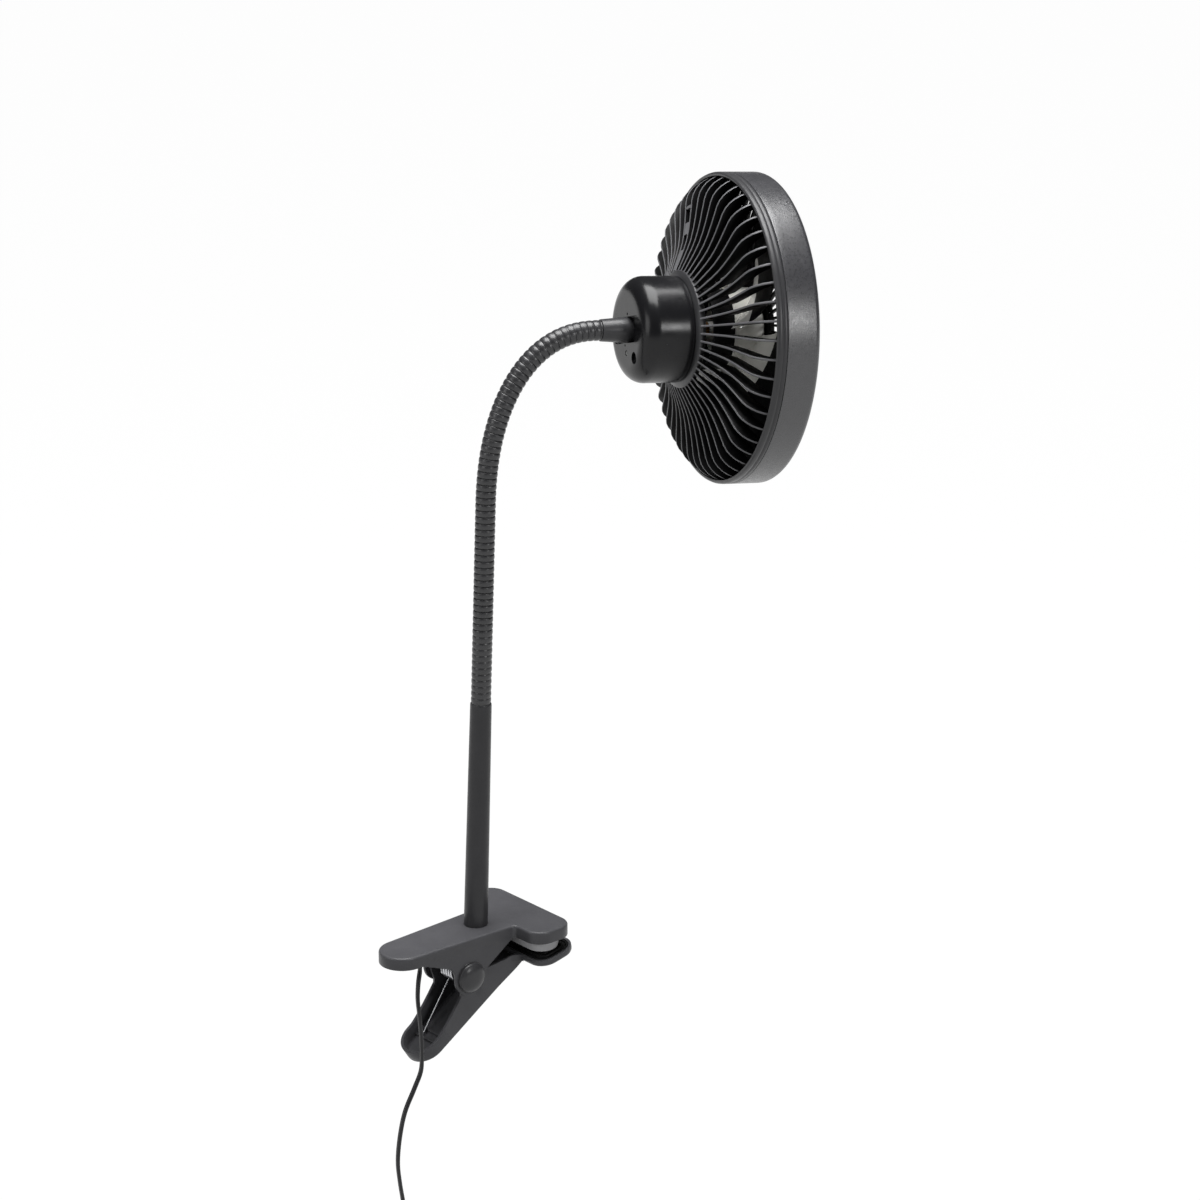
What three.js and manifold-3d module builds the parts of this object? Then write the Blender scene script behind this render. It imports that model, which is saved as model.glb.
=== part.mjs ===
// A clip fan: a spring clamp carries a stand tube and a ribbed gooseneck, with a round fan on its end.
// Units are millimetres and degrees, +Z is up and +X runs from the clamp's handle to its nose.
// The origin lies on the grip face of the upper jaw's pad.
import * as THREE from "three";
import { mergeVertices } from "three/addons/utils/BufferGeometryUtils.js";
import Module from "manifold-3d";

const wasm = await Module();
wasm.setup();

// ---------------------------------------------------------------- driving dimensions

const clearance = 0.3; // between pieces that meet

// Clamp. Its own frame has X = 0 at the stand tube's axis and Z = 0 on the plate's top.
const handleEndRadius = 14;
const handleEndCentre = -54;
const handleNeckHalf = 17; // half width of the handle where it meets the head
const headRear = 15.5;
const headFront = 44;
const headHalf = 37.5;
const headCorner = 10.5;
const innerFillet = 2.5;
const plateThickness = 2.4;
const skirtHeight = 7.5;
const skirtWall = 2;
const plateEdgeRadius = 1.4;
const earThickness = 2;
const earRadius = 11;
const pivotX = -16.8;
const pivotZ = -23.8;
const pinRadius = 2;
const capRadius = 9.8;
const capHeight = 3.6;
const upperPadDrop = 6; // how far the pad stands below the skirt
const upperPadInset = 3;
const padRearCorner = 8;
const padFrontCorner = 13;
const gripFront = 33; // the flat grip face ends here, and the pad's nose rises in front of it
const gripNoseRise = 4.5;

// Lower jaw. Its handle's floor is a slope, and its tray is a rounded head that tips up to the nose.
const leverSlope = 32.4;
const leverBendX = 20.7;
const leverBendZ = -28.8;
const leverLength = 82; // from the bend back to the handle's end
const leverHalf = 13.2;
const leverNeckHalf = 14;
const leverWall = 1.8;
const leverRimHeight = 8.7;
const trayTilt = 11;
const trayWallHeight = 4.4;
const trayRimX = 22;
const trayRimZ = -18.6;
const trayForward = 3; // the lower head's outline lies this far in front of the upper head's
const lowerPadThickness = 2.2;
const ridgeHeight = 0.8;
const ridgeWidth = 1.3;
const ridgePitch = 4;
const ridgeCount = 3;
const jawOpening = 30;

// Torsion spring
const springWire = 1.4;
const springCoilRadius = 5.6; // to the middle of the wire
const springTurns = 6;
const springPitch = 1.95;
const springGap = 0.35; // between the spring's arms and what they press on

// Stand: tube, gooseneck and fan, in a frame that turns and leans on the plate
const standYaw = -21;
const standLean = 2;
const tubeLength = 136.7;
const tubeBaseRadius = 7.05;
const tubeTopRadius = 6.15;
const tubeBore = 3.4;
const nippleRadius = 4.85;
const nippleLength = 9;
const washerThickness = 1;
const washerRadius = 9;
const nutAcrossCorners = 16;
const nutThickness = 3;
const neckStraight = 117.3;
const neckReach = 61.5;
const neckRise = 97.1;
const neckRoundness = 2.25; // exponent of the bend's superellipse
const neckPastTop = 3.1; // the bend runs this far past its highest point, so the fan droops a little
const ribPitch = 3.7;
const ribCrestRadius = 5.75;
const ribValleyRadius = 5.0;
const neckBore = 2.6;
const neckSides = 8;
const neckSegments = 7;
const bendLimit = 18;
const spigotLength = 8;

// Fan head. Its own frame has +Z forward along the airflow, +Y up, and Z = 0 on the housing's back.
const headRoll = 16; // turn of the whole head about its own axis, the near end of its slot upwards
const ferruleLength = 16;
const ferruleMouthRadius = 6.3;
const ferruleEndRadius = 7.25;
const ferruleInsert = 8; // how far it runs into the housing
const ferruleNutRadius = 11;
const ferruleNutThickness = 2.6;
const housingRadius = 30;
const housingDepth = 29.7;
const housingWall = 2;
const housingEdgeRadius = 10;
const slotHalfLength = 22;
const slotHalfHeight = 7.4;
const slotDepth = 4;
const slotScrewOffset = 15.2;
const screwHoleRadius = 3.4;
const screwHoleX = -10.3;
const screwHoleY = -16.1;
const screwHoleDepth = 7;
const lensX = 0.7;
const lensY = -12.9;
const lensRadius = 1.5;
const hubFlangeRadius = 33.1;
const hubFlangeThickness = 2.5;
const hubFlangeFall = 1.4; // how far the flange's rear face falls away to its edge
const ribCount = 50;
const ribThickness = 1.2;
const ribDepth = 8;
const archRadius = 50; // where the grille's steep inner cone turns into its flat outer one
const archRise = 9.2;
const coneRadius = 76; // where the flat cone turns into its shoulder
const coneRise = 14.6;
const shoulderBulge = 0.62; // how square the shoulder is
const drumRadius = 87.9;
const drumWall = 2.2;
const drumFrontEdge = 2.8; // chamfer of the band's front edge
const rimPlane = 60; // rear plane of the textured band
const drumDepth = 20;
const outerRingDepth = 6;
const frontLipWidth = 3.8;
const frontLipThickness = 1;
const frontRibCount = 24;
const frontRibWidth = 1.4;
const frontRibDepth = 3.2;
const frontRibSweep = 2; // each rib ends this many rib pitches further round
const frontRingWidth = 3;
const frontHubRadius = 27;
const capDiscRadius = 23.6;

// Motor and rotor
const boardRadius = 23;
const boardThickness = 1.6;
const boardHeight = 9.6;
const motorRadius = 14;
const motorLength = 14.2;
const motorWall = 1.2;
const bossRadius = 5;
const bossLength = 4;
const magnetThickness = 2.2;
const shaftRadius = 1.5;
const bearingRadius = 3.4;
const bearingLength = 3;
const runningGap = 0.5;
const impellerHubRadius = 23;
const impellerHubLength = 30;
const impellerHubWall = 2;
const impellerFront = 74;
const bladeCount = 5;
const bladeTipGap = 7.2; // between the band's wall and the blades' tips
const bladeTipRadius = drumRadius - drumWall - bladeTipGap;
const bladeThickness = 1.5;
const bladePhase = 8; // the first blade's place round the hub while the fan stands still
const bladeRootSpan = 60;
const bladeTipSpan = 64;
const bladeSweep = 14;
const bladeRootDepth = 19;
const bladeTipDepth = 15;
const bladeMiddle = 63.5;

// Cord, switch and plug
const cordWidth = 4.4;
const cordThickness = 2.2;
const innerLeadRadius = 1.3;
const grommetWidth = 9;
const grommetLength = 11;
const switchLength = 40;
const switchWidth = 17;
const switchDepth = 11;
const switchWall = 1.4;
const switchCorner = 3;
const buttonLength = 13;
const buttonWidth = 8;
const buttonProud = 1.6;
const buttonTravel = 1;
const buttonFlange = 1.2;
const hankLoops = 5;
const hankRun = 66;
const hankFold = 13.5; // fold radius of the innermost loop
const hankDip = 7; // how far the tie draws each run in
const hankSpacing = 3.2; // from loop to loop in a layer
const hankLayer = 5.4; // from layer to layer
const tieThickness = 1.3;
const tieHeight = 6;
const plugLength = 24;
const plugWidth = 15.5;
const plugDepth = 8;
const shellLength = 18;
const shellWidth = 12;
const shellDepth = 4.5;
const shellWall = 0.4;
const tongueThickness = 1.8;

// ---------------------------------------------------------------- looks

const charcoal = { color: 0x353537, roughness: 0.55, metalness: 0 };
const satinBlack = { color: 0x262628, roughness: 0.45, metalness: 0 };
const rubberBlack = { color: 0x161617, roughness: 0.85, metalness: 0 };
const padGrey = { color: 0xb9b9bb, roughness: 0.6, metalness: 0 };
const steel = { color: 0xc9cace, roughness: 0.28, metalness: 1 };
const bronze = { color: 0x9c7343, roughness: 0.4, metalness: 1 };
const bladeGrey = { color: 0xb4b6ba, roughness: 0.25, metalness: 0 };
const boardGreen = { color: 0x1f5a35, roughness: 0.5, metalness: 0 };
const lensMilk = { color: 0xd8dcd2, roughness: 0.3, metalness: 0 };
const copper = { color: 0xb0672f, roughness: 0.35, metalness: 1 };
const ferrite = { color: 0x2b2b2d, roughness: 0.7, metalness: 0 };

// ---------------------------------------------------------------- helpers

const radians = THREE.MathUtils.degToRad;

// A geometry with its shared corners merged and its faces pointing out.
function closed(geometry) {
  const bare = geometry.index ? geometry.toNonIndexed() : geometry.clone();
  bare.deleteAttribute("normal");
  bare.deleteAttribute("uv");
  const merged = mergeVertices(bare, 1e-4);
  const p = merged.attributes.position;
  const index = Array.from(merged.index.array);
  const [a, b, c] = [new THREE.Vector3(), new THREE.Vector3(), new THREE.Vector3()];
  let volume = 0;
  for (let i = 0; i < index.length; i += 3) {
    a.fromBufferAttribute(p, index[i]);
    b.fromBufferAttribute(p, index[i + 1]);
    c.fromBufferAttribute(p, index[i + 2]);
    volume += a.dot(b.cross(c));
  }
  if (volume < 0) index.reverse();
  const kept = [];
  for (let i = 0; i < index.length; i += 3) {
    const [u, v, w] = index.slice(i, i + 3);
    if (u !== v && v !== w && w !== u) kept.push(u, v, w);
  }
  merged.setIndex(kept);
  return merged;
}

function solid(geometry) {
  const shape = closed(geometry);
  return new wasm.Manifold(
    new wasm.Mesh({
      numProp: 3,
      vertProperties: shape.attributes.position.array,
      triVerts: new Uint32Array(shape.index.array),
    }),
  );
}

function geometryOf(body) {
  const mesh = body.getMesh();
  const geometry = new THREE.BufferGeometry();
  geometry.setAttribute("position", new THREE.BufferAttribute(mesh.vertProperties, 3));
  geometry.setIndex(new THREE.BufferAttribute(mesh.triVerts, 1));
  return geometry;
}

function joined(...geometries) {
  return geometryOf(geometries.map(solid).reduce((sum, next) => sum.add(next)));
}

function cut(geometry, ...tools) {
  return geometryOf(tools.map(solid).reduce((left, tool) => left.subtract(tool), solid(geometry)));
}

function common(geometry, other) {
  return geometryOf(solid(geometry).intersect(solid(other)));
}

// A plate from an outline in X and Y, from z = low to z = high. A positive edge rounds both rims.
function slab(outline, low, high, edge = 0, steps = 4) {
  const rounded = edge > 0;
  const geometry = new THREE.ExtrudeGeometry(outline, {
    depth: high - low - 2 * edge,
    bevelEnabled: rounded,
    bevelThickness: edge,
    bevelSize: edge,
    bevelOffset: -edge,
    bevelSegments: 1,
    curveSegments: steps,
  });
  return geometry.translate(0, 0, low + edge);
}

// A plate from an outline in X and Z, from y = low to y = high.
function sideSlab(outline, low, high, steps = 4) {
  return slab(outline, 0, high - low, 0, steps).rotateX(Math.PI / 2).translate(0, high, 0);
}

// A turned piece round the Z axis, from a closed list of [radius, z].
function turned(profile, segments) {
  const points = profile.map(([radius, z]) => new THREE.Vector2(radius, z));
  points.push(points[0].clone());
  return new THREE.LatheGeometry(points, segments).rotateX(Math.PI / 2);
}

function cylinder(radius, low, high, segments = 24) {
  const geometry = new THREE.CylinderGeometry(radius, radius, high - low, segments);
  return geometry.rotateX(Math.PI / 2).translate(0, 0, (low + high) / 2);
}

function box(x0, x1, y0, y1, z0, z1) {
  const geometry = new THREE.BoxGeometry(x1 - x0, y1 - y0, z1 - z0);
  return geometry.translate((x0 + x1) / 2, (y0 + y1) / 2, (z0 + z1) / 2);
}

function polygon(points) {
  return new THREE.Shape(points.map(([x, y]) => new THREE.Vector2(x, y)));
}

function roundedRectangle(halfX, halfY, radius) {
  const outline = new THREE.Shape();
  outline.moveTo(radius - halfX, -halfY);
  outline.absarc(halfX - radius, radius - halfY, radius, -Math.PI / 2, 0);
  outline.absarc(halfX - radius, halfY - radius, radius, 0, Math.PI / 2);
  outline.absarc(radius - halfX, halfY - radius, radius, Math.PI / 2, Math.PI);
  outline.absarc(radius - halfX, radius - halfY, radius, Math.PI, (3 * Math.PI) / 2);
  return outline;
}

// Rings of points joined into one closed tube. Each ring is a list of Vector3 in the same order.
// With an inner set of rings the tube has a bore, and ring-shaped ends.
function tubeOfRings(outer, inner = null) {
  const positions = [];
  const index = [];
  const sides = outer[0].length;
  const addRings = (rings) => {
    const first = positions.length / 3;
    rings.forEach((ring) => ring.forEach((p) => positions.push(p.x, p.y, p.z)));
    return first;
  };
  const addWall = (first, count, turn) => {
    for (let r = 0; r + 1 < count; r++) {
      for (let s = 0; s < sides; s++) {
        const a = first + r * sides + s;
        const b = first + r * sides + ((s + 1) % sides);
        const quad = turn ? [a, b + sides, b, a, a + sides, b + sides] : [a, b, b + sides, a, b + sides, a + sides];
        index.push(...quad);
      }
    }
  };
  const outerFirst = addRings(outer);
  addWall(outerFirst, outer.length, false);
  const lastOuter = outerFirst + (outer.length - 1) * sides;
  if (inner) {
    const innerFirst = addRings(inner);
    const lastInner = innerFirst + (inner.length - 1) * sides;
    addWall(innerFirst, inner.length, true);
    for (let s = 0; s < sides; s++) {
      const n = (s + 1) % sides;
      index.push(outerFirst + s, innerFirst + s, innerFirst + n, outerFirst + s, innerFirst + n, outerFirst + n);
      index.push(lastOuter + s, lastOuter + n, lastInner + n, lastOuter + s, lastInner + n, lastInner + s);
    }
  } else {
    for (let s = 1; s + 1 < sides; s++) {
      index.push(outerFirst, outerFirst + s + 1, outerFirst + s);
      index.push(lastOuter, lastOuter + s, lastOuter + s + 1);
    }
  }
  const geometry = new THREE.BufferGeometry();
  geometry.setAttribute("position", new THREE.Float32BufferAttribute(positions, 3));
  geometry.setIndex(index);
  return geometry;
}

// The rings of a section carried along points whose path stays square to one axis or nearly so.
function ringsAlong(points, axis, section) {
  return points.map((point, i) => {
    const before = points[Math.max(i - 1, 0)];
    const after = points[Math.min(i + 1, points.length - 1)];
    const ahead = after.clone().sub(before).normalize();
    const across = axis.clone().cross(ahead).normalize();
    const along = ahead.clone().cross(across);
    return section.map(([u, v]) => point.clone().addScaledVector(across, u).addScaledVector(along, v));
  });
}

function circleSection(radius, sides) {
  return Array.from({ length: sides }, (_, i) => {
    const angle = ((i + 0.5) * 2 * Math.PI) / sides;
    return [radius * Math.cos(angle), radius * Math.sin(angle)];
  });
}

function piece(name, geometry, look) {
  const mesh = new THREE.Mesh(closed(geometry), new THREE.MeshStandardMaterial(look));
  mesh.geometry.computeVertexNormals();
  mesh.name = name;
  return mesh;
}

function group(...members) {
  const holder = new THREE.Group();
  holder.add(...members.flat());
  return holder;
}

// ---------------------------------------------------------------- clamp, upper jaw

// The outline that both jaws share: a rounded head and a handle that narrows to a round end.
function clampOutline(inset, neckHalf = handleNeckHalf, forward = 0) {
  const end = handleEndRadius - inset;
  const neck = neckHalf - inset;
  const rear = headRear + inset + forward;
  const front = headFront - inset + forward;
  const half = headHalf - inset;
  const corner = headCorner - inset;
  const outline = new THREE.Shape();
  outline.moveTo(handleEndCentre, -end);
  outline.lineTo(rear - innerFillet, -neck);
  outline.quadraticCurveTo(rear, -neck, rear, -neck - innerFillet);
  outline.absarc(rear + corner, corner - half, corner, Math.PI, 1.5 * Math.PI);
  outline.absarc(front - corner, corner - half, corner, 1.5 * Math.PI, 2 * Math.PI);
  outline.absarc(front - corner, half - corner, corner, 0, Math.PI / 2);
  outline.absarc(rear + corner, half - corner, corner, Math.PI / 2, Math.PI);
  outline.lineTo(rear, neck + innerFillet);
  outline.quadraticCurveTo(rear, neck, rear - innerFillet, neck);
  outline.lineTo(handleEndCentre, end);
  outline.absarc(handleEndCentre, 0, end, Math.PI / 2, 1.5 * Math.PI);
  return outline;
}

// The head alone, with its own corners at the rear and at the front.
function headOutline(inset, rearCorner, frontCorner = rearCorner, forward = 0) {
  const rear = headRear + inset + forward;
  const front = headFront - inset + forward;
  const half = headHalf - inset;
  const outline = new THREE.Shape();
  outline.moveTo(rear, 0);
  outline.absarc(rear + rearCorner, rearCorner - half, rearCorner, Math.PI, 1.5 * Math.PI);
  outline.absarc(front - frontCorner, frontCorner - half, frontCorner, 1.5 * Math.PI, 2 * Math.PI);
  outline.absarc(front - frontCorner, half - frontCorner, frontCorner, 0, Math.PI / 2);
  outline.absarc(rear + rearCorner, half - rearCorner, rearCorner, Math.PI / 2, Math.PI);
  return outline;
}

const sideSlope = Math.atan2(handleNeckHalf - handleEndRadius, headRear - handleEndCentre);
const sideAtZero = handleEndRadius - Math.tan(sideSlope) * handleEndCentre;

// Half the clear width between the ears at the pivot.
const earInnerHalf = sideAtZero + Math.tan(sideSlope) * pivotX - earThickness / Math.cos(sideSlope);

function earOutline() {
  const outline = new THREE.Shape();
  const top = -skirtHeight / 2;
  const rearAngle = radians(168);
  outline.moveTo(-50, top);
  outline.lineTo(-50, -skirtHeight);
  outline.lineTo(-31.4, pivotZ + 9);
  outline.quadraticCurveTo(
    pivotX - earRadius - 0.6,
    pivotZ + 7.5,
    pivotX + earRadius * Math.cos(rearAngle),
    pivotZ + earRadius * Math.sin(rearAngle),
  );
  outline.absarc(pivotX, pivotZ, earRadius, rearAngle, 2 * Math.PI + radians(12), false);
  outline.lineTo(headRear - 1.3, -skirtHeight - clearance);
  outline.lineTo(headRear - 1.3, top);
  return outline;
}

// One ear, on the side given by -1 (near, -Y) or +1 (far, +Y).
function ear(side) {
  const [low, high] = side < 0 ? [0, earThickness] : [-earThickness, 0];
  return sideSlab(earOutline(), low, high).rotateZ(side * sideSlope).translate(0, side * sideAtZero, 0);
}

function alongPivot(radius, low, high, segments) {
  return cylinder(radius, low, high, segments).rotateX(-Math.PI / 2).translate(pivotX, 0, pivotZ);
}

function upperJaw() {
  const outer = slab(clampOutline(0), -2 * skirtHeight, 0, plateEdgeRadius, 3);
  const trimmed = cut(outer, box(-100, 100, -60, 60, -3 * skirtHeight, -skirtHeight));
  const cavity = slab(clampOutline(skirtWall), -skirtHeight - 1, -plateThickness, 0, 3);
  const shell = cut(trimmed, cavity);
  const body = joined(shell, ear(-1), ear(1));
  const tubeHole = cylinder(nippleRadius + clearance, -skirtHeight, 1, 20);
  const pinHole = alongPivot(pinRadius + clearance, -30, 30, 16);
  return piece("clamp_upper_jaw", cut(body, tubeHole, pinHole), charcoal);
}

// A soft pad inside the skirt. Its flat grip face ends at gripFront, and the nose rises in front.
function upperPad() {
  const bottom = -skirtHeight - upperPadDrop;
  const outer = slab(headOutline(upperPadInset, padRearCorner, padFrontCorner), bottom, -plateThickness - clearance);
  const noseX = headFront + 1;
  const nose = polygon([
    [gripFront, bottom],
    [gripFront, bottom - 5],
    [noseX, bottom - 5],
    [noseX, bottom + gripNoseRise * 1.1],
  ]);
  const softened = cut(outer, sideSlab(nose, -50, 50));
  return piece("upper_jaw_pad", softened, padGrey);
}

function pivotPin() {
  const half = sideAtZero + Math.tan(sideSlope) * pivotX + 1.2;
  return piece("pivot_pin", alongPivot(pinRadius, -half, half, 16), steel);
}

// A domed cap over the pin's end, on the ear's outer face.
function pivotCap(name, side) {
  const seat = sideAtZero + Math.tan(sideSlope) * pivotX + clearance + Math.tan(sideSlope) * capRadius;
  const dome = [
    [0, capHeight],
    [capRadius * 0.5, capHeight * 0.9],
    [capRadius * 0.86, capHeight * 0.55],
    [capRadius, 0],
    [pinRadius + clearance, 0],
    [pinRadius + clearance, 1.6],
    [0, 1.6],
  ];
  const cap = turned(dome, 16).rotateX((-side * Math.PI) / 2);
  return piece(name, cap.translate(pivotX, side * seat, pivotZ), satinBlack);
}

// ---------------------------------------------------------------- clamp, lower jaw

// The lever's own frame: X along the handle's floor towards the nose, Z square to the floor.
function fromLever(geometry) {
  return geometry.rotateY(-radians(leverSlope)).translate(leverBendX, 0, leverBendZ);
}

function toLever(x, z) {
  const slope = radians(leverSlope);
  const dx = x - leverBendX;
  const dz = z - leverBendZ;
  return [dx * Math.cos(slope) + dz * Math.sin(slope), dz * Math.cos(slope) - dx * Math.sin(slope)];
}

const [leverPivotX, leverPivotZ] = toLever(pivotX, pivotZ);

function leverPlan(inset) {
  const end = leverHalf - inset;
  const centre = leverHalf - leverLength;
  const wide = leverNeckHalf - inset;
  const middle = (end + wide) / 2;
  const outline = new THREE.Shape();
  outline.moveTo(centre, -end);
  outline.lineTo(leverPivotX + earRadius, -end);
  outline.lineTo(leverPivotX + earRadius + 6, -middle);
  outline.lineTo(-2, -wide);
  outline.lineTo(12 - inset, -wide);
  outline.lineTo(12 - inset, wide);
  outline.lineTo(-2, wide);
  outline.lineTo(leverPivotX + earRadius + 6, middle);
  outline.lineTo(leverPivotX + earRadius, end);
  outline.lineTo(centre, end);
  outline.absarc(centre, 0, end, Math.PI / 2, 1.5 * Math.PI);
  return outline;
}

// The lever seen from its side: a low handle, tall walls round the pivot, then down to the tray.
function leverSide() {
  const rim = leverRimHeight;
  const eye = earRadius - 3;
  const outline = new THREE.Shape();
  outline.moveTo(-leverLength - 1, 0);
  outline.lineTo(1, 0);
  outline.lineTo(12, 0.8);
  outline.lineTo(12, 5.2);
  outline.lineTo(7, 6.1);
  outline.lineTo(leverPivotX + 12, leverPivotZ - 6.4);
  outline.absarc(leverPivotX, leverPivotZ, eye, radians(-20), radians(160), false);
  outline.lineTo(leverPivotX - 10, leverPivotZ - 6.5);
  outline.lineTo(16 - leverLength, rim);
  outline.lineTo(-leverLength - 1, rim);
  return outline;
}

// The tray's own frame lies in its rim plane, level across and tipped up to the nose.
function fromTray(geometry) {
  return geometry
    .translate(-trayRimX, 0, 0)
    .rotateY(-radians(trayTilt))
    .translate(trayRimX, 0, trayRimZ);
}

function trayOutline(inset) {
  const corner = Math.max(headCorner - inset, 0.8);
  return headOutline(inset, corner, corner, trayForward);
}

function lowerJaw() {
  const lever = common(
    slab(leverPlan(0), 0, 60, 0, 4),
    sideSlab(leverSide(), -leverNeckHalf - 1, leverNeckHalf + 1),
  );
  const hollow = slab(leverPlan(leverWall), leverWall, 61, 0, 4);
  const tray = slab(trayOutline(0), -trayWallHeight, 0);
  const trayHollow = slab(trayOutline(leverWall), -trayWallHeight + leverWall, 1);
  const stop = box(14 - leverLength, 15.4 - leverLength, -leverHalf + 1, leverHalf - 1, 1, leverWall + 1.2);
  const eyeHole = alongPivot(pinRadius + clearance, -30, 30, 16);
  const trayBody = fromTray(tray);
  const channel = cut(fromLever(lever), fromLever(hollow));
  const shell = joined(channel, trayBody, fromLever(stop));
  return piece("clamp_lower_jaw", cut(shell, fromTray(trayHollow), eyeHole), charcoal);
}

// A ridged rubber pad in the tray. The ridges follow the tray's outline.
function lowerPad() {
  const floor = -trayWallHeight + leverWall + clearance;
  const top = floor + lowerPadThickness - ridgeHeight;
  const base = slab(trayOutline(leverWall + clearance), floor, top, 0, 2);
  const ridges = Array.from({ length: ridgeCount }, (_, i) => {
    const inset = leverWall + clearance + i * ridgePitch * 0.85;
    const ring = trayOutline(inset);
    ring.holes.push(new THREE.Path(trayOutline(inset + ridgeWidth).getPoints(2)));
    return slab(ring, top - 0.2, top + ridgeHeight, 0, 2);
  });
  return piece("lower_jaw_pad", fromTray(joined(base, ...ridges)), rubberBlack);
}

// One wire: an arm under the upper handle, the coil round the pin, an arm on the lower handle's floor.
function torsionSpring() {
  const wire = springWire / 2;
  const half = (springTurns * springPitch) / 2;
  const centre = new THREE.Vector3(pivotX, 0, pivotZ);
  const onCoil = (angle, y) =>
    new THREE.Vector3(springCoilRadius * Math.cos(angle), y, springCoilRadius * Math.sin(angle)).add(centre);
  const upperReach = 24;
  const upperDrop = pivotZ + plateThickness + wire + springGap; // from the coil's centre to the arm's tip, negative
  const tangentAngle = (dx, dz) => {
    const distance = Math.hypot(dx, dz);
    return Math.atan2(dz, dx) - Math.acos(springCoilRadius / distance);
  };
  const upperTip = new THREE.Vector3(pivotX - upperReach, -half, pivotZ - upperDrop);
  const upperAngle = tangentAngle(-upperReach, -upperDrop);
  const tipX = 17.5 - leverLength;
  const slope = radians(leverSlope);
  const tipZ = leverWall + wire + springGap;
  const lowerTip = new THREE.Vector3(
    leverBendX + tipX * Math.cos(slope) - tipZ * Math.sin(slope),
    half,
    leverBendZ + tipX * Math.sin(slope) + tipZ * Math.cos(slope),
  );
  const toTip = lowerTip.clone().sub(centre);
  const distance = Math.hypot(toTip.x, toTip.z);
  const lowerAngle = Math.atan2(toTip.z, toTip.x) + Math.acos(springCoilRadius / distance);
  const sweepAngle = upperAngle - lowerAngle + 2 * Math.PI * (springTurns - 1);
  const steps = Math.round((sweepAngle / (2 * Math.PI)) * 8);
  const points = [upperTip, upperTip.clone().lerp(onCoil(upperAngle, -half), 0.5)];
  for (let i = 0; i <= steps; i++) {
    points.push(onCoil(upperAngle - (sweepAngle * i) / steps, (2 * half * i) / steps - half));
  }
  points.push(onCoil(lowerAngle, half).lerp(lowerTip, 0.5), lowerTip);
  const rings = ringsAlong(points, new THREE.Vector3(0, 1, 0), circleSection(wire, 5));
  console.log("torsion spring, least gap between curls:", (springPitch - springWire).toFixed(2), "mm");
  return piece("torsion_spring", tubeOfRings(rings), steel);
}

// ---------------------------------------------------------------- stand tube and gooseneck

// The stand leans, so what sits flat on the plate keeps clear by its own radius times the lean.
const leanRise = (radius) => clearance + radius * Math.tan(radians(standLean));

function standTube() {
  const shoulder = leanRise(tubeBaseRadius);
  const profile = [
    [tubeBore, -nippleLength],
    [nippleRadius, -nippleLength],
    [nippleRadius, shoulder],
    [tubeBaseRadius, shoulder],
    [tubeTopRadius, tubeLength],
    [ribValleyRadius - 0.5, tubeLength],
    [ribValleyRadius - 0.5, tubeLength - spigotLength - clearance],
    [tubeBore, tubeLength - spigotLength - clearance],
  ];
  return piece("stand_tube", turned(profile, 16), charcoal);
}

const washerTop = -plateThickness - leanRise(washerRadius);

function tubeWasher() {
  const top = washerTop;
  const profile = [
    [nippleRadius + clearance, top - washerThickness],
    [washerRadius, top - washerThickness],
    [washerRadius, top],
    [nippleRadius + clearance, top],
  ];
  return piece("tube_washer", turned(profile, 12), steel);
}

function tubeNut() {
  const top = washerTop - washerThickness - clearance;
  const profile = [
    [nippleRadius + 0.1, top - nutThickness],
    [nutAcrossCorners / 2, top - nutThickness],
    [nutAcrossCorners / 2, top],
    [nippleRadius + 0.1, top],
  ];
  const outer = turned([[0, top - nutThickness], profile[1], profile[2], [0, top]], 6);
  return piece("tube_nut", cut(outer, cylinder(nippleRadius + 0.2, -nippleLength, 0, 20)), steel);
}

// The gooseneck's middle line in the stand's own X-Z plane: straight up, then a bend that runs over
// its highest point. The bend's points are found by their angle round (neckReach, neckStraight's end).
const neckTurn = (() => {
  const past = neckPastTop / neckReach;
  const height = neckRise * Math.pow(1 - Math.pow(past, neckRoundness), 1 / neckRoundness);
  return Math.PI / 2 + Math.atan(neckPastTop / height);
})();

class NeckLine extends THREE.Curve {
  getPoint(t, target = new THREE.Vector3()) {
    const straightShare = neckStraight / (neckStraight + neckReach + neckRise);
    if (t < straightShare) return target.set(0, 0, tubeLength + (neckStraight * t) / straightShare);
    const angle = ((t - straightShare) / (1 - straightShare)) * neckTurn;
    const cos = Math.abs(Math.cos(angle)) / neckReach;
    const sin = Math.sin(angle) / neckRise;
    const reach = Math.pow(Math.pow(cos, neckRoundness) + Math.pow(sin, neckRoundness), -1 / neckRoundness);
    return target.set(neckReach - reach * Math.cos(angle), 0, tubeLength + neckStraight + reach * Math.sin(angle));
  }
}

const neckLine = new NeckLine();
neckLine.arcLengthDivisions = 800;
const neckLength = neckLine.getLength();
const neckRibs = Math.round((neckLength - 2 * clearance) / ribPitch);
const neckEnd = neckLine.getPoint(1);
const neckEndAhead = neckEnd.clone().sub(neckLine.getPoint(0.9999)).normalize();

function neckPlace(distance) {
  const share = THREE.MathUtils.clamp(distance / neckLength, 0, 1);
  return neckLine.getPointAt(share);
}

function neckRing(distance, radius) {
  const point = neckPlace(distance);
  const ahead = neckPlace(distance + 0.5).sub(neckPlace(distance - 0.5)).normalize();
  const axis = new THREE.Vector3(0, 1, 0);
  const across = axis.clone().cross(ahead).normalize();
  return circleSection(radius, neckSides).map(([u, v]) =>
    point.clone().addScaledVector(across, u).addScaledVector(axis, v),
  );
}

const ribStep = (neckLength - 2 * clearance) / neckRibs;

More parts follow.
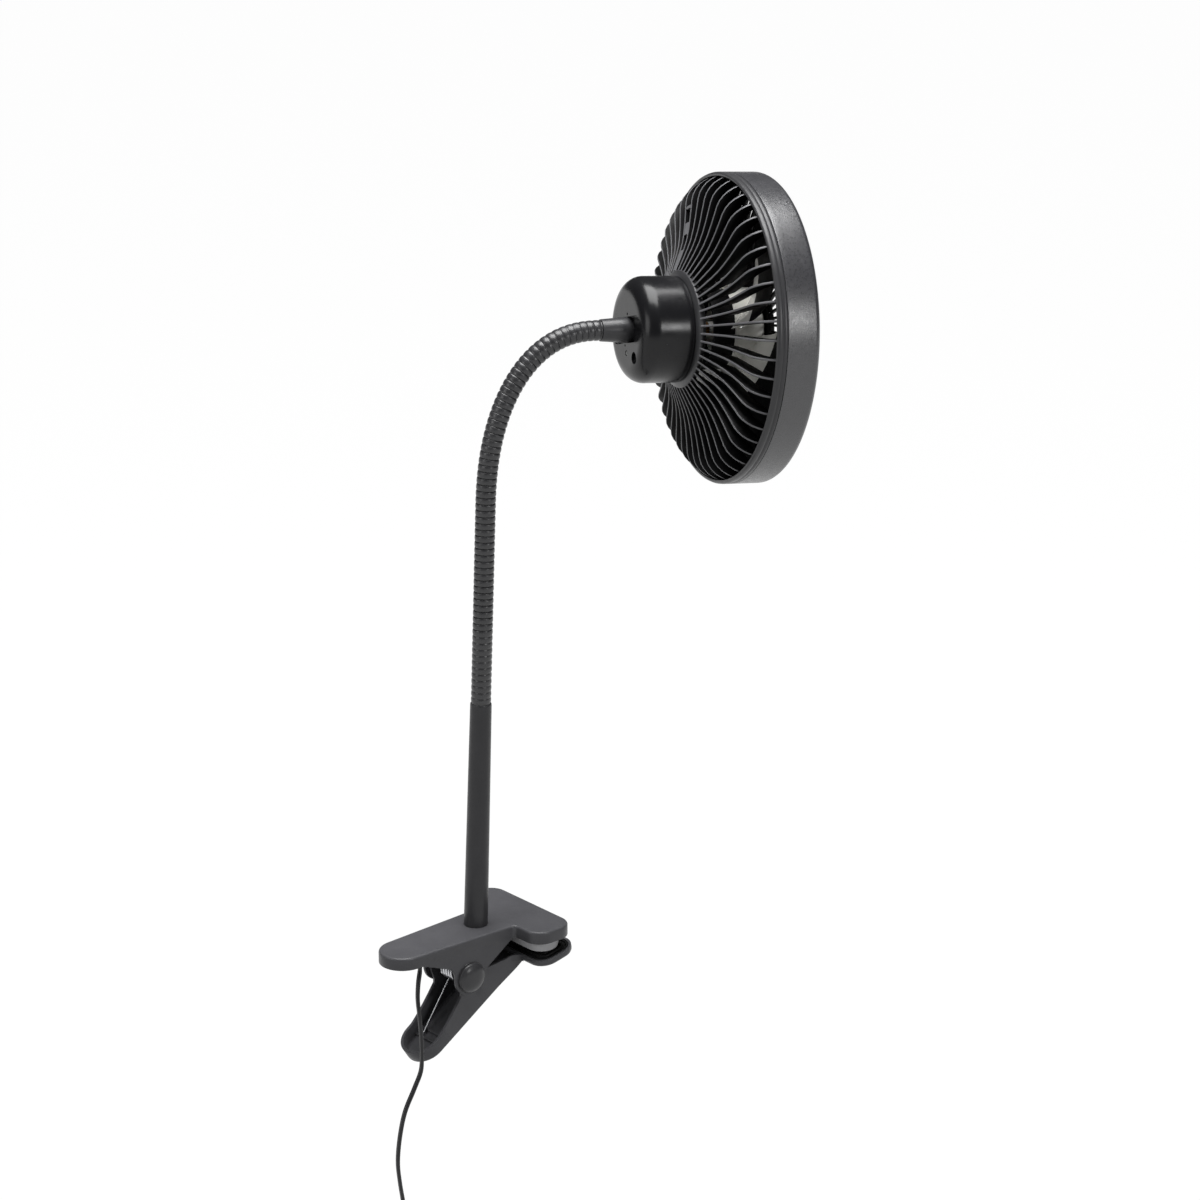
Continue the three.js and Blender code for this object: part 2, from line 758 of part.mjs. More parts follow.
// Where segment number i begins, as a distance along the gooseneck.
function neckCut(i) {
  return clearance + Math.round((i * neckRibs) / neckSegments) * ribStep;
}

// At a joint the outer gap lets the ribs swing, and the bore's edges stay close together.
const jointOuterHalf = (ribCrestRadius * Math.sin(radians(bendLimit))) / 2 + 0.08;
const jointInnerHalf = (neckBore * Math.sin(radians(bendLimit))) / 2 + 0.05;

function neckSegment(i) {
  const start = neckCut(i);
  const end = neckCut(i + 1);
  const first = i === 0;
  const last = i === neckSegments - 1;
  const outerStart = start + (first ? 0 : jointOuterHalf);
  const outerEnd = end - (last ? 0 : jointOuterHalf);
  const innerStart = start + (first ? 0 : jointInnerHalf);
  const innerEnd = end - (last ? 0 : jointInnerHalf);
  const ribs = Math.round((end - start) / ribStep);
  const slopeRadius = (gap) => ribValleyRadius + ((ribCrestRadius - ribValleyRadius) * gap) / (ribStep / 2);
  const outer = [neckRing(outerStart, slopeRadius(outerStart - start))];
  for (let rib = 0; rib < ribs; rib++) {
    outer.push(neckRing(start + (rib + 0.5) * ribStep, ribCrestRadius));
    if (rib + 1 < ribs) outer.push(neckRing(start + (rib + 1) * ribStep, ribValleyRadius));
  }
  outer.push(neckRing(outerEnd, slopeRadius(end - outerEnd)));
  const inner = [neckRing(innerStart, neckBore)];
  for (let rib = 5; rib < ribs; rib += 5) inner.push(neckRing(start + rib * ribStep, neckBore));
  inner.push(neckRing(innerEnd, neckBore));
  const body = tubeOfRings(outer, inner);
  if (!first) return piece(`neck_segment_${i + 1}`, body, rubberBlack);
  const low = tubeLength - spigotLength;
  const spigot = turned(
    [
      [neckBore, low],
      [ribValleyRadius - 0.5 - clearance, low],
      [ribValleyRadius - 0.5 - clearance, tubeLength + 2],
      [neckBore, tubeLength + 2],
    ],
    neckSides * 2,
  );
  return piece("neck_segment_1", joined(body, spigot), rubberBlack);
}

// ---------------------------------------------------------------- fan head

const headHubPlane = housingDepth + clearance;

function ferrule() {
  const insert = ferruleEndRadius - 1.2;
  const profile = [
    [neckBore, clearance - ferruleLength],
    [ferruleMouthRadius, clearance - ferruleLength],
    [ferruleEndRadius, slotDepth - clearance],
    [insert, slotDepth - clearance],
    [insert, ferruleInsert],
    [neckBore, ferruleInsert],
  ];
  return piece("neck_ferrule", turned(profile, 16), satinBlack);
}

function ferruleNut() {
  const start = slotDepth + housingWall + clearance;
  const bore = ferruleEndRadius - 1.2 + 0.1;
  const nut = cylinder(ferruleNutRadius, start, start + ferruleNutThickness, 6);
  return piece("ferrule_nut", cut(nut, cylinder(bore + 0.1, start - 1, start + ferruleNutThickness + 1, 20)), steel);
}

function housingProfile(inset, arcSteps) {
  const radius = housingRadius - inset;
  const edge = housingEdgeRadius - inset;
  const points = [[0, inset]];
  for (let i = 0; i <= arcSteps; i++) {
    const angle = (i / arcSteps) * (Math.PI / 2);
    points.push([radius - edge + edge * Math.sin(angle), inset + edge - edge * Math.cos(angle)]);
  }
  points.push([radius, housingDepth + (inset > 0 ? 1 : 0)], [0, housingDepth + (inset > 0 ? 1 : 0)]);
  return points;
}

function slotOutline(grow) {
  const half = slotHalfLength + grow;
  const radius = slotHalfHeight + grow;
  return roundedRectangle(half, radius, radius - 0.01);
}

// The rear shell: a round cup with a slot-shaped recess that takes the ferrule and its screws.
function rearHousing() {
  const shell = cut(turned(housingProfile(0, 4), 30), turned(housingProfile(housingWall, 2), 30));
  const pocketWalls = slab(slotOutline(housingWall), housingWall / 2, slotDepth + housingWall, 0, 2);
  const pocket = slab(slotOutline(0), -1, slotDepth, 0, 2);
  const bossEnd = screwHoleDepth + housingWall;
  const boss = cylinder(screwHoleRadius + 1.4, housingWall / 2, bossEnd, 12).translate(screwHoleX, screwHoleY, 0);
  const hole = cylinder(screwHoleRadius, -1, screwHoleDepth, 14).translate(screwHoleX, screwHoleY, 0);
  const pilot = cylinder(1.6, 0, bossEnd + 1, 8).translate(screwHoleX, screwHoleY, 0);
  const lensHole = cylinder(lensRadius + clearance / 2, -1, housingWall + 1, 12).translate(lensX, lensY, 0);
  const ferruleHole = cylinder(ferruleEndRadius - 1.2 + clearance, -1, slotDepth + housingWall + 1, 20);
  const screwHoles = [-1, 1].map((side) =>
    cylinder(1.6, 0, slotDepth + housingWall + 1, 8).translate(side * slotScrewOffset, 0, 0),
  );
  const body = joined(shell, pocketWalls, boss);
  return piece("rear_housing", cut(body, pocket, hole, pilot, lensHole, ferruleHole, ...screwHoles), charcoal);
}

// A pan-head screw with a slot, its head's underside at z = seat, its shank towards +Z.
function screw(name, x, y, seat, headRadius, shankLength, direction = 1) {
  const profile = [
    [0, -1.8],
    [headRadius * 0.75, -1.6],
    [headRadius, -0.8],
    [headRadius, -clearance / 2],
    [1.3, -clearance / 2],
    [1.3, shankLength],
    [0, shankLength],
  ];
  const slotHalf = headRadius * 0.6;
  const made = cut(turned(profile, 8), box(-slotHalf, slotHalf, -0.35, 0.35, -3, -1.1));
  if (direction < 0) made.rotateX(Math.PI);
  return piece(name, made.translate(x, y, seat), steel);
}

function indicatorLens() {
  const lens = cylinder(lensRadius, 0.2, boardHeight - clearance, 12);
  return piece("indicator_lens", lens.translate(lensX, lensY, 0), lensMilk);
}

// One rib seen from its side, as radius and height: a steep cone from the hub flange, a flatter one,
// then a round shoulder up to the outer ring.
function grilleRib() {
  const hub = headHubPlane;
  const inner = hubFlangeRadius - 1;
  const slope = (coneRise - archRise) / (coneRadius - archRadius);
  const shoulder = hub + coneRise;
  const ringRadius = drumRadius - drumWall / 2;
  const run = ringRadius - coneRadius;
  const bend = coneRadius + run * shoulderBulge;
  const bendHeight = shoulder + slope * run * shoulderBulge;
  const ringRear = rimPlane - outerRingDepth / 2;
  const middle = (a, control, b) => (a + 2 * control + b) / 4;
  const outline = polygon([
    [inner, hub + hubFlangeFall],
    [archRadius, hub + archRise],
    [coneRadius, shoulder],
    [middle(coneRadius, bend, ringRadius), middle(shoulder, bendHeight, ringRear)],
    [ringRadius, rimPlane - 0.4],
    [coneRadius - 1, shoulder + ribDepth],
    [archRadius, hub + archRise + ribDepth],
    [inner, hub + hubFlangeThickness - 0.9],
  ]);
  return sideSlab(outline, -ribThickness / 2, ribThickness / 2);
}

function rearGrille() {
  const rib = grilleRib();
  const ribs = Array.from({ length: ribCount }, (_, i) => rib.clone().rotateZ((i * 2 * Math.PI) / ribCount));
  const flangeEnd = headHubPlane + hubFlangeThickness;
  const spigotRadius = housingRadius - housingWall - clearance;
  const hub = turned(
    [
      [bossRadius + clearance, headHubPlane],
      [spigotRadius - 1.8, headHubPlane],
      [spigotRadius - 1.8, headHubPlane - 3],
      [spigotRadius, headHubPlane - 3],
      [spigotRadius, headHubPlane],
      [housingRadius - 0.5, headHubPlane],
      [hubFlangeRadius, headHubPlane + hubFlangeFall],
      [hubFlangeRadius, flangeEnd],
      [bossRadius + clearance, flangeEnd],
    ],
    ribCount / 2,
  ).rotateZ(Math.PI / ribCount);
  const ring = turned(
    [
      [drumRadius - drumWall, rimPlane - outerRingDepth],
      [drumRadius, rimPlane - outerRingDepth + 1],
      [drumRadius, rimPlane],
      [drumRadius - drumWall, rimPlane],
    ],
    ribCount,
  ).rotateZ(Math.PI / ribCount);
  const whole = joined(hub, ring, ...ribs);
  const screwHoles = [-1, 1].map((side) =>
    cylinder(1.6, headHubPlane - 1, flangeEnd + 1, 8).translate(0, side * motorScrewOffset, 0),
  );
  return piece("rear_grille", cut(whole, ...screwHoles), charcoal);
}

function drumBand() {
  const rear = rimPlane + clearance;
  const front = rimPlane + drumDepth;
  const profile = [
    [drumRadius - drumWall, rear],
    [drumRadius, rear],
    [drumRadius, front - drumFrontEdge],
    [drumRadius - drumFrontEdge * 0.8, front],
    [drumRadius - frontLipWidth, front],
    [drumRadius - frontLipWidth, front - frontLipThickness],
    [drumRadius - drumWall, front - frontLipThickness],
  ];
  return piece("drum_band", turned(profile, ribCount), charcoal);
}

// A flat front grille: an outer ring behind the band's lip, a hub ring and swept ribs between.
function frontGrille() {
  const front = rimPlane + drumDepth - frontLipThickness - clearance;
  const rear = front - frontRibDepth;
  const outer = drumRadius - drumWall - clearance;
  const ring = (inner, outside, z0, z1) =>
    turned(
      [
        [inner, z0],
        [outside, z0],
        [outside, z1],
        [inner, z1],
      ],
      frontRibCount,
    ).rotateZ(Math.PI / frontRibCount);
  const outerRing = ring(outer - frontRingWidth, outer, rear, front);
  const hubRing = ring(frontHubRadius - 6.5, frontHubRadius, rear, front);
  const start = frontHubRadius - 1;
  const end = outer - 1;
  const steps = 2;
  const line = Array.from({ length: steps + 1 }, (_, i) => {
    const t = i / steps;
    const radius = start + (end - start) * t;
    const angle = ((frontRibSweep * 2 * Math.PI) / frontRibCount) * t * t;
    return new THREE.Vector2(radius * Math.cos(angle), radius * Math.sin(angle));
  });
  const side = (shift) =>
    line.map((p, i) => {
      const ahead = line[Math.min(i + 1, steps)].clone().sub(line[Math.max(i - 1, 0)]).normalize();
      return [p.x - ahead.y * shift, p.y + ahead.x * shift];
    });
  const outline = polygon([...side(-frontRibWidth / 2), ...side(frontRibWidth / 2).reverse()]);
  const rib = slab(outline, rear + 0.2, front - 0.2);
  const ribs = Array.from({ length: frontRibCount }, (_, i) =>
    rib.clone().rotateZ((i * 2 * Math.PI) / frontRibCount),
  );
  return piece("front_grille", joined(outerRing, hubRing, ...ribs), charcoal);
}

function frontCap() {
  const seat = rimPlane + drumDepth - frontLipThickness;
  const spigot = frontHubRadius - 6.5 - clearance;
  const profile = [
    [0, seat - 2.5],
    [spigot, seat - 2.5],
    [spigot, seat],
    [capDiscRadius, seat],
    [capDiscRadius - 1, seat + 1.2],
    [0, seat + 1.8],
  ];
  return piece("front_cap", turned(profile, 20), satinBlack);
}

// ---------------------------------------------------------------- motor, board and rotor

const motorFront = headHubPlane - clearance;
const motorRear = motorFront - motorLength;
const motorScrewOffset = 9;

function circuitBoard() {
  const start = boardHeight;
  const board = cylinder(boardRadius, start, start + boardThickness, 18);
  const leadHole = cylinder(4, start - 1, start + boardThickness + 1, 8);
  const screwRelief = cylinder(screwHoleRadius + 2.2, start - 1, start + boardThickness + 1, 10).translate(
    screwHoleX,
    screwHoleY,
    0,
  );
  const clear = ferruleNutRadius + 1.5;
  const chip = box(clear, clear + 6, 2, 7, start - 1.6, start + 0.2);
  const capacitor = cylinder(2.4, start - 2.4, start + 0.2, 10).translate(-clear - 3, 8, 0);
  const connector = box(-clear - 6, -clear, -8, -2, start - 2.2, start + 0.2);
  const bare = cut(board, leadHole, screwRelief);
  return piece("circuit_board", joined(bare, chip, capacitor, connector), boardGreen);
}

function motorCan() {
  const bossEnd = motorFront + bossLength;
  const bore = bearingRadius + clearance / 2;
  const profile = [
    [bore, bossEnd],
    [bore, motorFront - motorWall],
    [motorRadius - motorWall, motorFront - motorWall],
    [motorRadius - motorWall, motorRear],
    [motorRadius, motorRear],
    [motorRadius, motorFront],
    [bossRadius, motorFront],
    [bossRadius, bossEnd],
  ];
  const can = turned(profile, 16);
  const holes = [-1, 1].map((side) =>
    cylinder(1.6, motorFront - motorWall - 1, motorFront + 1, 8).translate(0, side * motorScrewOffset, 0),
  );
  return piece("motor_can", cut(can, ...holes), steel);
}

function motorEndPlate() {
  const seat = motorRear - clearance;
  const profile = [
    [bearingRadius + clearance / 2, seat],
    [motorRadius, seat],
    [motorRadius, seat - 1.2],
    [bearingRadius + 1.6, seat - 1.2],
    [bearingRadius + 1.6, seat - 2],
    [0, seat - 2],
    [0, seat - 1.4],
    [bearingRadius + clearance / 2, seat - 1.4],
  ];
  return piece("motor_end_plate", turned(profile, 12), satinBlack);
}

function bearing(name, low) {
  const profile = [
    [shaftRadius + 0.06, low],
    [bearingRadius, low],
    [bearingRadius, low + bearingLength],
    [shaftRadius + 0.06, low + bearingLength],
  ];
  return piece(name, turned(profile, 14), bronze);
}

function motorMagnet() {
  const outer = motorRadius - motorWall - clearance / 2;
  const profile = [
    [outer - magnetThickness, motorRear + 1],
    [outer, motorRear + 1],
    [outer, motorFront - motorWall - clearance],
    [outer - magnetThickness, motorFront - motorWall - clearance],
  ];
  return piece("motor_magnet", turned(profile, 16), ferrite);
}

const rearBearingLow = motorRear - clearance - 1.2;
const frontBearingLow = motorFront + bossLength - 1 - clearance - bearingLength;

function motorShaft() {
  const low = rearBearingLow + 0.3;
  return piece("motor_shaft", cylinder(shaftRadius, low, impellerFront - impellerHubWall - 1, 16), steel);
}

function armature() {
  const outer = motorRadius - motorWall - clearance / 2 - magnetThickness - runningGap;
  const low = rearBearingLow + bearingLength + 2;
  const high = motorFront - motorWall - runningGap;
  const profile = [
    [shaftRadius + 0.1, low],
    [outer, low],
    [outer, high],
    [shaftRadius + 0.1, high],
  ];
  return piece("armature", turned(profile, 16), copper);
}

// One blade: a thin twisted sheet between the hub and the tip, thickened along the axis.
function blade() {
  const across = 4;
  const outward = 3;
  const positions = [];
  const index = [];
  const width = across + 1;
  for (const face of [-1, 1]) {
    for (let i = 0; i <= outward; i++) {
      const t = i / outward;
      const radius = impellerHubRadius - 1 + (bladeTipRadius - impellerHubRadius + 1) * t;
      const span = radians(bladeRootSpan + (bladeTipSpan - bladeRootSpan) * t);
      const depth = bladeRootDepth + (bladeTipDepth - bladeRootDepth) * t;
      for (let j = 0; j <= across; j++) {
        const c = (2 * j) / across - 1;
        const rounding = 1 - 0.28 * Math.pow(t, 4) * Math.pow(Math.abs(c), 3);
        const angle = (-c * span * rounding) / 2 - radians(bladeSweep) * t;
        const camber = 1.8 * (1 - c * c);
        const z = bladeMiddle + (c * depth) / 2 + camber + (face * bladeThickness) / 2;
        positions.push(radius * Math.cos(angle), radius * Math.sin(angle), z);
      }
    }
  }
  const layer = width * (outward + 1);
  const quad = (a, b, c, d) => index.push(a, c, b, a, d, c);
  for (let i = 0; i < outward; i++) {
    for (let j = 0; j < across; j++) {
      const a = i * width + j;
      quad(a, a + 1, a + width + 1, a + width);
      quad(layer + a, layer + a + width, layer + a + width + 1, layer + a + 1);
    }
  }
  for (let i = 0; i < outward; i++) {
    const a = i * width;
    const b = a + across;
    quad(a, a + width, layer + a + width, layer + a);
    quad(b + width, b, layer + b, layer + b + width);
  }
  for (let j = 0; j < across; j++) {
    const root = j;
    const tip = outward * width + j;
    quad(root + 1, root, layer + root, layer + root + 1);
    quad(tip, tip + 1, layer + tip + 1, layer + tip);
  }
  const geometry = new THREE.BufferGeometry();
  geometry.setAttribute("position", new THREE.Float32BufferAttribute(positions, 3));
  geometry.setIndex(index);
  return geometry;
}

function impeller() {
  const inner = impellerHubRadius - impellerHubWall;
  const rear = impellerFront - impellerHubLength;
  const front = impellerFront;
  const bore = shaftRadius + 0.05;
  const hub = turned(
    [
      [bore, rear + 5],
      [4, rear + 5],
      [4, front - impellerHubWall],
      [inner, front - impellerHubWall - 2],
      [inner, rear],
      [impellerHubRadius, rear],
      [impellerHubRadius, front - 4],
      [impellerHubRadius - 4, front],
      [bore, front],
    ],
    24,
  );
  const one = blade();
  const blades = Array.from({ length: bladeCount }, (_, i) =>
    one.clone().rotateZ(radians(bladePhase) + (i * 2 * Math.PI) / bladeCount),
  );
  const inside = cylinder(inner, rear - 1, front - impellerHubWall - 3, 24);
  const trimmed = blades.map((b) => cut(b, inside));
  return piece("impeller", joined(hub, ...trimmed), bladeGrey);
}

function impellerCollar() {
  const low = impellerFront - impellerHubLength + 5 - clearance - 3;
  const profile = [
    [shaftRadius + 0.05, low],
    [4, low],
    [4, low + 3],
    [shaftRadius + 0.05, low + 3],
  ];
  return piece("impeller_collar", turned(profile, 14), bronze);
}

function headLead() {
  const low = ferruleInsert - 6;
  const high = boardHeight + boardThickness;
  const lying = neckBore - innerLeadRadius - clearance;
  return piece("head_lead", cylinder(innerLeadRadius, low, high, 8).translate(0, -lying, 0), rubberBlack);
}

// ---------------------------------------------------------------- cord

// The cord's free stretch in the clamp's frame, by hand from the grommet down past the lever's end.
const cordPoints = [
  [-48.9, -9, -9.6],
  [-49.2, -9.2, -12],
  [-52.4, -11.6, -18],
  [-54.9, -14, -26],
  [-55.9, -16.4, -35],
  [-55.4, -17.2, -48],
  [-55.2, -17.2, -62],
  [-56, -17, -70.5],
  [-60.6, -16.4, -80.5],
  [-66.6, -15.4, -93],
  [-69.6, -14.2, -107],
  [-71, -13.1, -125],
  [-69.2, -12.3, -139.5],
  [-67.2, -12, -151],
  [-65.8, -12, -160],
  [-65.5, -12, -167],
  [-65.5, -12, -173],
].map(([x, y, z]) => new THREE.Vector3(x, y, z));

const cordStart = cordPoints[0];
const switchTop = cordPoints[cordPoints.length - 1].clone();

function flatCordOutline() {
  const w = cordWidth / 2;
  const t = cordThickness / 2;
  return polygon([
    [w, 0],
    [w * 0.72, t],
    [0, t * 0.85],
    [-w * 0.72, t],
    [-w, 0],
    [-w * 0.72, -t],
    [0, -t * 0.85],
    [w * 0.72, -t],
  ]);
}

function cordFree() {
  const path = new THREE.CatmullRomCurve3(cordPoints, false, "centripetal");
  const steps = Math.round(path.getLength() / (2.4 * cordWidth));
  const geometry = new THREE.ExtrudeGeometry(flatCordOutline(), { steps, extrudePath: path });
  return piece("cord_free", geometry, rubberBlack);
}

function cordGrommet() {
  const bottom = cordStart.z + clearance;
  const top = -plateThickness - clearance;
  const x = cordStart.x;
  const y = cordStart.y + 2.2;
  const outline = roundedRectangle(grommetLength / 2, grommetWidth / 2, 1.5);
  const block = slab(outline, bottom, top, 0.4, 2).translate(x, y, 0);
  return piece("cord_grommet", block, rubberBlack);
}

// The lead from the grommet, along under the plate, then up inside the tube.
function tubeLead() {
  const x0 = cordStart.x + grommetLength / 2 + clearance;
  const y0 = cordStart.y + 2.2;
  const lean = Math.tan(radians(standLean));
  const yaw = radians(standYaw);
  const inTube = (z) => new THREE.Vector3(z * lean * Math.cos(yaw), z * lean * Math.sin(yaw), z);
  const low = -nippleLength - 4;
  const points = [
    new THREE.Vector3(x0, y0, -6),
    new THREE.Vector3(x0 + 2, y0, -6),
    new THREE.Vector3(x0 + 8, y0 - 1.8, -5.6),
    new THREE.Vector3(-29, -7, -5.8),
    new THREE.Vector3(-22.5, -4.8, -7.4),
    new THREE.Vector3(-16, -3.6, -10.4),
    new THREE.Vector3(-10, -2.4, low + 0.5),
    new THREE.Vector3(-5, -1.2, low),
    new THREE.Vector3(-1.4, -0.4, low + 1.3),
    inTube(-nippleLength),
    inTube(tubeLength * 0.5),
    inTube(tubeLength - spigotLength - 4),
  ];
  const rings = ringsAlong(points, new THREE.Vector3(0, 1, 0), circleSection(innerLeadRadius, 6));
  const geometry = tubeOfRings(rings);
  return piece("tube_lead", geometry, rubberBlack);
}

// ---------------------------------------------------------------- in-line switch

// The switch's own frame: Z up along the cord, its face towards -Y, centred on the origin.
function switchShell(name, side) {
  const half = switchLength / 2;
  const wide = switchWidth / 2;
  const deep = switchDepth / 2;
  const outline = roundedRectangle(wide, half, switchCorner);
  const hollow = roundedRectangle(wide - switchWall, half - switchWall, switchCorner - switchWall);
  const whole = slab(outline, -deep, deep, 0.7, 2);
  const flat = cut(whole, box(-wide - 1, wide + 1, -half - 1, half + 1, -deep - 1, clearance / 2));
  const shell = cut(flat, slab(hollow, -1, deep - switchWall, 0, 2));
  const opening = roundedRectangle(buttonWidth / 2 + clearance, buttonLength / 2 + clearance, 1.5);
  const window = slab(opening, -1, deep + 1, 0, 2);
  const made = side < 0 ? cut(shell, window) : shell;
  made.rotateX(Math.PI / 2);
  if (side > 0) made.rotateZ(Math.PI);
  return piece(name, made, satinBlack);
}

function switchBoard() {
  const wide = switchWidth / 2 - switchWall - clearance;
  const half = switchLength / 2 - switchWall - clearance;
  const outline = roundedRectangle(wide, half, switchCorner - switchWall - clearance);
  const board = slab(outline, -2.4, -0.8, 0, 2).rotateX(Math.PI / 2);
  return piece("switch_board", board, boardGreen);
}

function switchButton() {
  const inner = switchDepth / 2 - switchWall - clearance;
  const face = roundedRectangle(buttonWidth / 2, buttonLength / 2, 1.3);
  const stem = slab(face, 0, switchDepth / 2 + buttonProud, 0.6, 2);
  const rim = roundedRectangle(buttonWidth / 2 + buttonFlange, buttonLength / 2 + buttonFlange, 1.5);
  const flange = slab(rim, inner - 1.2, inner, 0, 2);
  const below = box(-10, 10, -10, 10, -5, inner - 1.2);
  const made = cut(joined(stem, flange), below);
  return piece("switch_button", made.rotateX(Math.PI / 2), rubberBlack);
}

// ---------------------------------------------------------------- hank and plug

// A point on a hank loop. k counts 24 steps round: right run down, lower fold, left run up, upper fold.
function hankPoint(k, grow, y) {
  const half = hankRun / 2;
  const draw = (z) => hankDip * Math.pow(Math.cos((Math.PI * z) / hankRun), 2);
  const fold = hankFold + grow;
  const step = ((k % 24) + 24) % 24;
  if (step <= 4) {
    const z = half - (hankRun * step) / 4;
    return new THREE.Vector3(fold - draw(z), y, z);
  }
  if (step <= 12) {
    const angle = (-Math.PI * (step - 4)) / 8;
    return new THREE.Vector3(fold * Math.cos(angle), y, -half + fold * Math.sin(angle));
  }
  if (step <= 16) {
    const z = -half + (hankRun * (step - 12)) / 4;
    return new THREE.Vector3(draw(z) - fold, y, z);
  }
  const angle = Math.PI - (Math.PI * (step - 16)) / 8;
  return new THREE.Vector3(fold * Math.cos(angle), y, half + fold * Math.sin(angle));
}

// The middle line of the hank in its own frame: it spirals in on the near layer, climbs where the
// spiral turns round, and spirals out on the far layer.
function hankLine() {
  const total = hankLoops * 24 + 3;
  const middle = total / 2;
  const widest = (hankSpacing * middle) / 24;
  const points = [];
  const outside = hankFold + widest;
  const half = hankRun / 2;
  points.push(new THREE.Vector3(0, -hankLayer / 2, half + outside + 10));
  points.push(new THREE.Vector3(0.2, -hankLayer / 2, half + outside + 5));
  points.push(new THREE.Vector3(outside * 0.3, -hankLayer / 2, half + outside - 1));
  points.push(new THREE.Vector3(outside * 0.72, -hankLayer / 2, half + outside * 0.74));
  points.push(new THREE.Vector3(outside * 0.96, -hankLayer / 2, half + outside * 0.34));
  for (let k = 0; k <= total; k++) {
    const grow = (Math.abs(k - middle) * hankSpacing) / 24;
    const climb = THREE.MathUtils.smoothstep(k, middle - 6, middle + 6);
    points.push(hankPoint(k, grow, hankLayer * (climb - 0.5)));
  }
  const end = points[points.length - 1];
  points.push(new THREE.Vector3(end.x + 1.2, end.y, end.z - 8));
  points.push(new THREE.Vector3(end.x + 5.5, end.y, end.z - 19));
  points.push(new THREE.Vector3(end.x + 9.5, end.y, end.z - 29));
  points.push(new THREE.Vector3(end.x + 10.6, end.y, end.z - 38));
  points.push(new THREE.Vector3(end.x + 10.6, end.y, end.z - 43));
  return points;
}

// The least distance between stretches of the hank that don't follow each other, less the cord.
function hankGap(rings) {
  const apart = 8;
  let least = Infinity;
  for (let i = 0; i < rings.length; i++) {
    for (let j = i + apart; j < rings.length; j++) {
      for (const a of rings[i]) for (const b of rings[j]) least = Math.min(least, a.distanceTo(b));
    }
  }
  return least;
}

const hankPoints = hankLine();

function cordHank() {
  const w = cordWidth / 2;
  const t = cordThickness / 2;
  const section = [
    [t, w * 0.55],
    [0, w],
    [-t, w * 0.55],
    [-t, -w * 0.55],
    [0, -w],
    [t, -w * 0.55],
  ];
  const rings = ringsAlong(hankPoints, new THREE.Vector3(0, 1, 0), section);
  console.log("hank, least gap of the cord to itself:", hankGap(rings).toFixed(2), "mm");
  return piece("cord_hank", tubeOfRings(rings), rubberBlack);
}

// A strap round the hank's waist.
function cordTie() {
  const widest = (hankSpacing * (hankLoops * 24 + 3)) / 48;
  const halfX = hankFold - hankDip + widest + cordThickness / 2 + 2 * clearance;
  const halfY = hankLayer / 2 + cordWidth / 2 + clearance;
  const outline = roundedRectangle(halfX + tieThickness, halfY + tieThickness, 2.5);
  outline.holes.push(new THREE.Path(roundedRectangle(halfX, halfY, 1.2).getPoints(2)));
  return piece("cord_tie", slab(outline, -tieHeight / 2, tieHeight / 2, 0, 2), satinBlack);
}

// The plug's own frame: its cord end at the origin, pointing down.
function plug() {
  const body = slab(roundedRectangle(plugWidth / 2, plugDepth / 2, 2), -plugLength, -4, 0.6, 2);
  const neck = slab(roundedRectangle(4.2, 2.6, 2), -6, 0, 0, 2);
  const shellTop = -plugLength - clearance;
  const outline = roundedRectangle(shellWidth / 2, shellDepth / 2, 0.6);
  const shell = slab(outline, shellTop - shellLength, shellTop, 0, 2);
  const bore = slab(
    roundedRectangle(shellWidth / 2 - shellWall, shellDepth / 2 - shellWall, 0.3),
    shellTop - shellLength - 1,
    shellTop + 1,
    0,
    2,
  );
  const wide = shellWidth / 2 - shellWall - clearance;
  const tongueLow = shellTop - shellLength + 1;
  const tongueBack = shellDepth / 2 - shellWall - clearance;
  const tongue = box(-wide, wide, tongueBack - tongueThickness, tongueBack, tongueLow, shellTop);
  return group(
    piece("usb_plug_body", joined(body, neck), rubberBlack),
    piece("usb_plug_shell", cut(shell, bore), steel),
    piece("usb_plug_tongue", tongue, satinBlack),
  );
}

// ---------------------------------------------------------------- assembly

function clamp() {
  return group(
    upperJaw(),
    upperPad(),
    pivotPin(),
    pivotCap("pivot_cap_near", -1),
    pivotCap("pivot_cap_far", 1),
    torsionSpring(),
    lowerJaw(),
    lowerPad(),
    cordGrommet(),
    tubeLead(),
  );
}

function fanHead() {
  const slotSeat = slotDepth;
  const holeSeat = screwHoleDepth;
  const flangeFront = headHubPlane + hubFlangeThickness;
  return group(
    ferrule(),
    ferruleNut(),
    rearHousing(),
    screw("bracket_screw_near", -slotScrewOffset, 0, slotSeat, 2.8, 5),
    screw("bracket_screw_far", slotScrewOffset, 0, slotSeat, 2.8, 5),
    screw("housing_screw", screwHoleX, screwHoleY, holeSeat, 2.6, 6),
    indicatorLens(),
    rearGrille(),
    drumBand(),
    frontGrille(),
    frontCap(),
    circuitBoard(),
    headLead(),
    motorCan(),
    motorEndPlate(),
    motorMagnet(),
    bearing("rear_bearing", rearBearingLow),
    bearing("front_bearing", frontBearingLow),
    screw("motor_screw_upper", 0, motorScrewOffset, flangeFront, 2.4, 4, -1),
    screw("motor_screw_lower", 0, -motorScrewOffset, flangeFront, 2.4, 4, -1),
    motorShaft(),
    armature(),
    impeller(),
    impellerCollar(),
  );
}

const stand = group(
  standTube(),
  tubeWasher(),
  tubeNut(),
  Array.from({ length: neckSegments }, (_, i) => neckSegment(i)),
);
stand.rotation.set(0, radians(standLean), radians(standYaw), "ZYX");

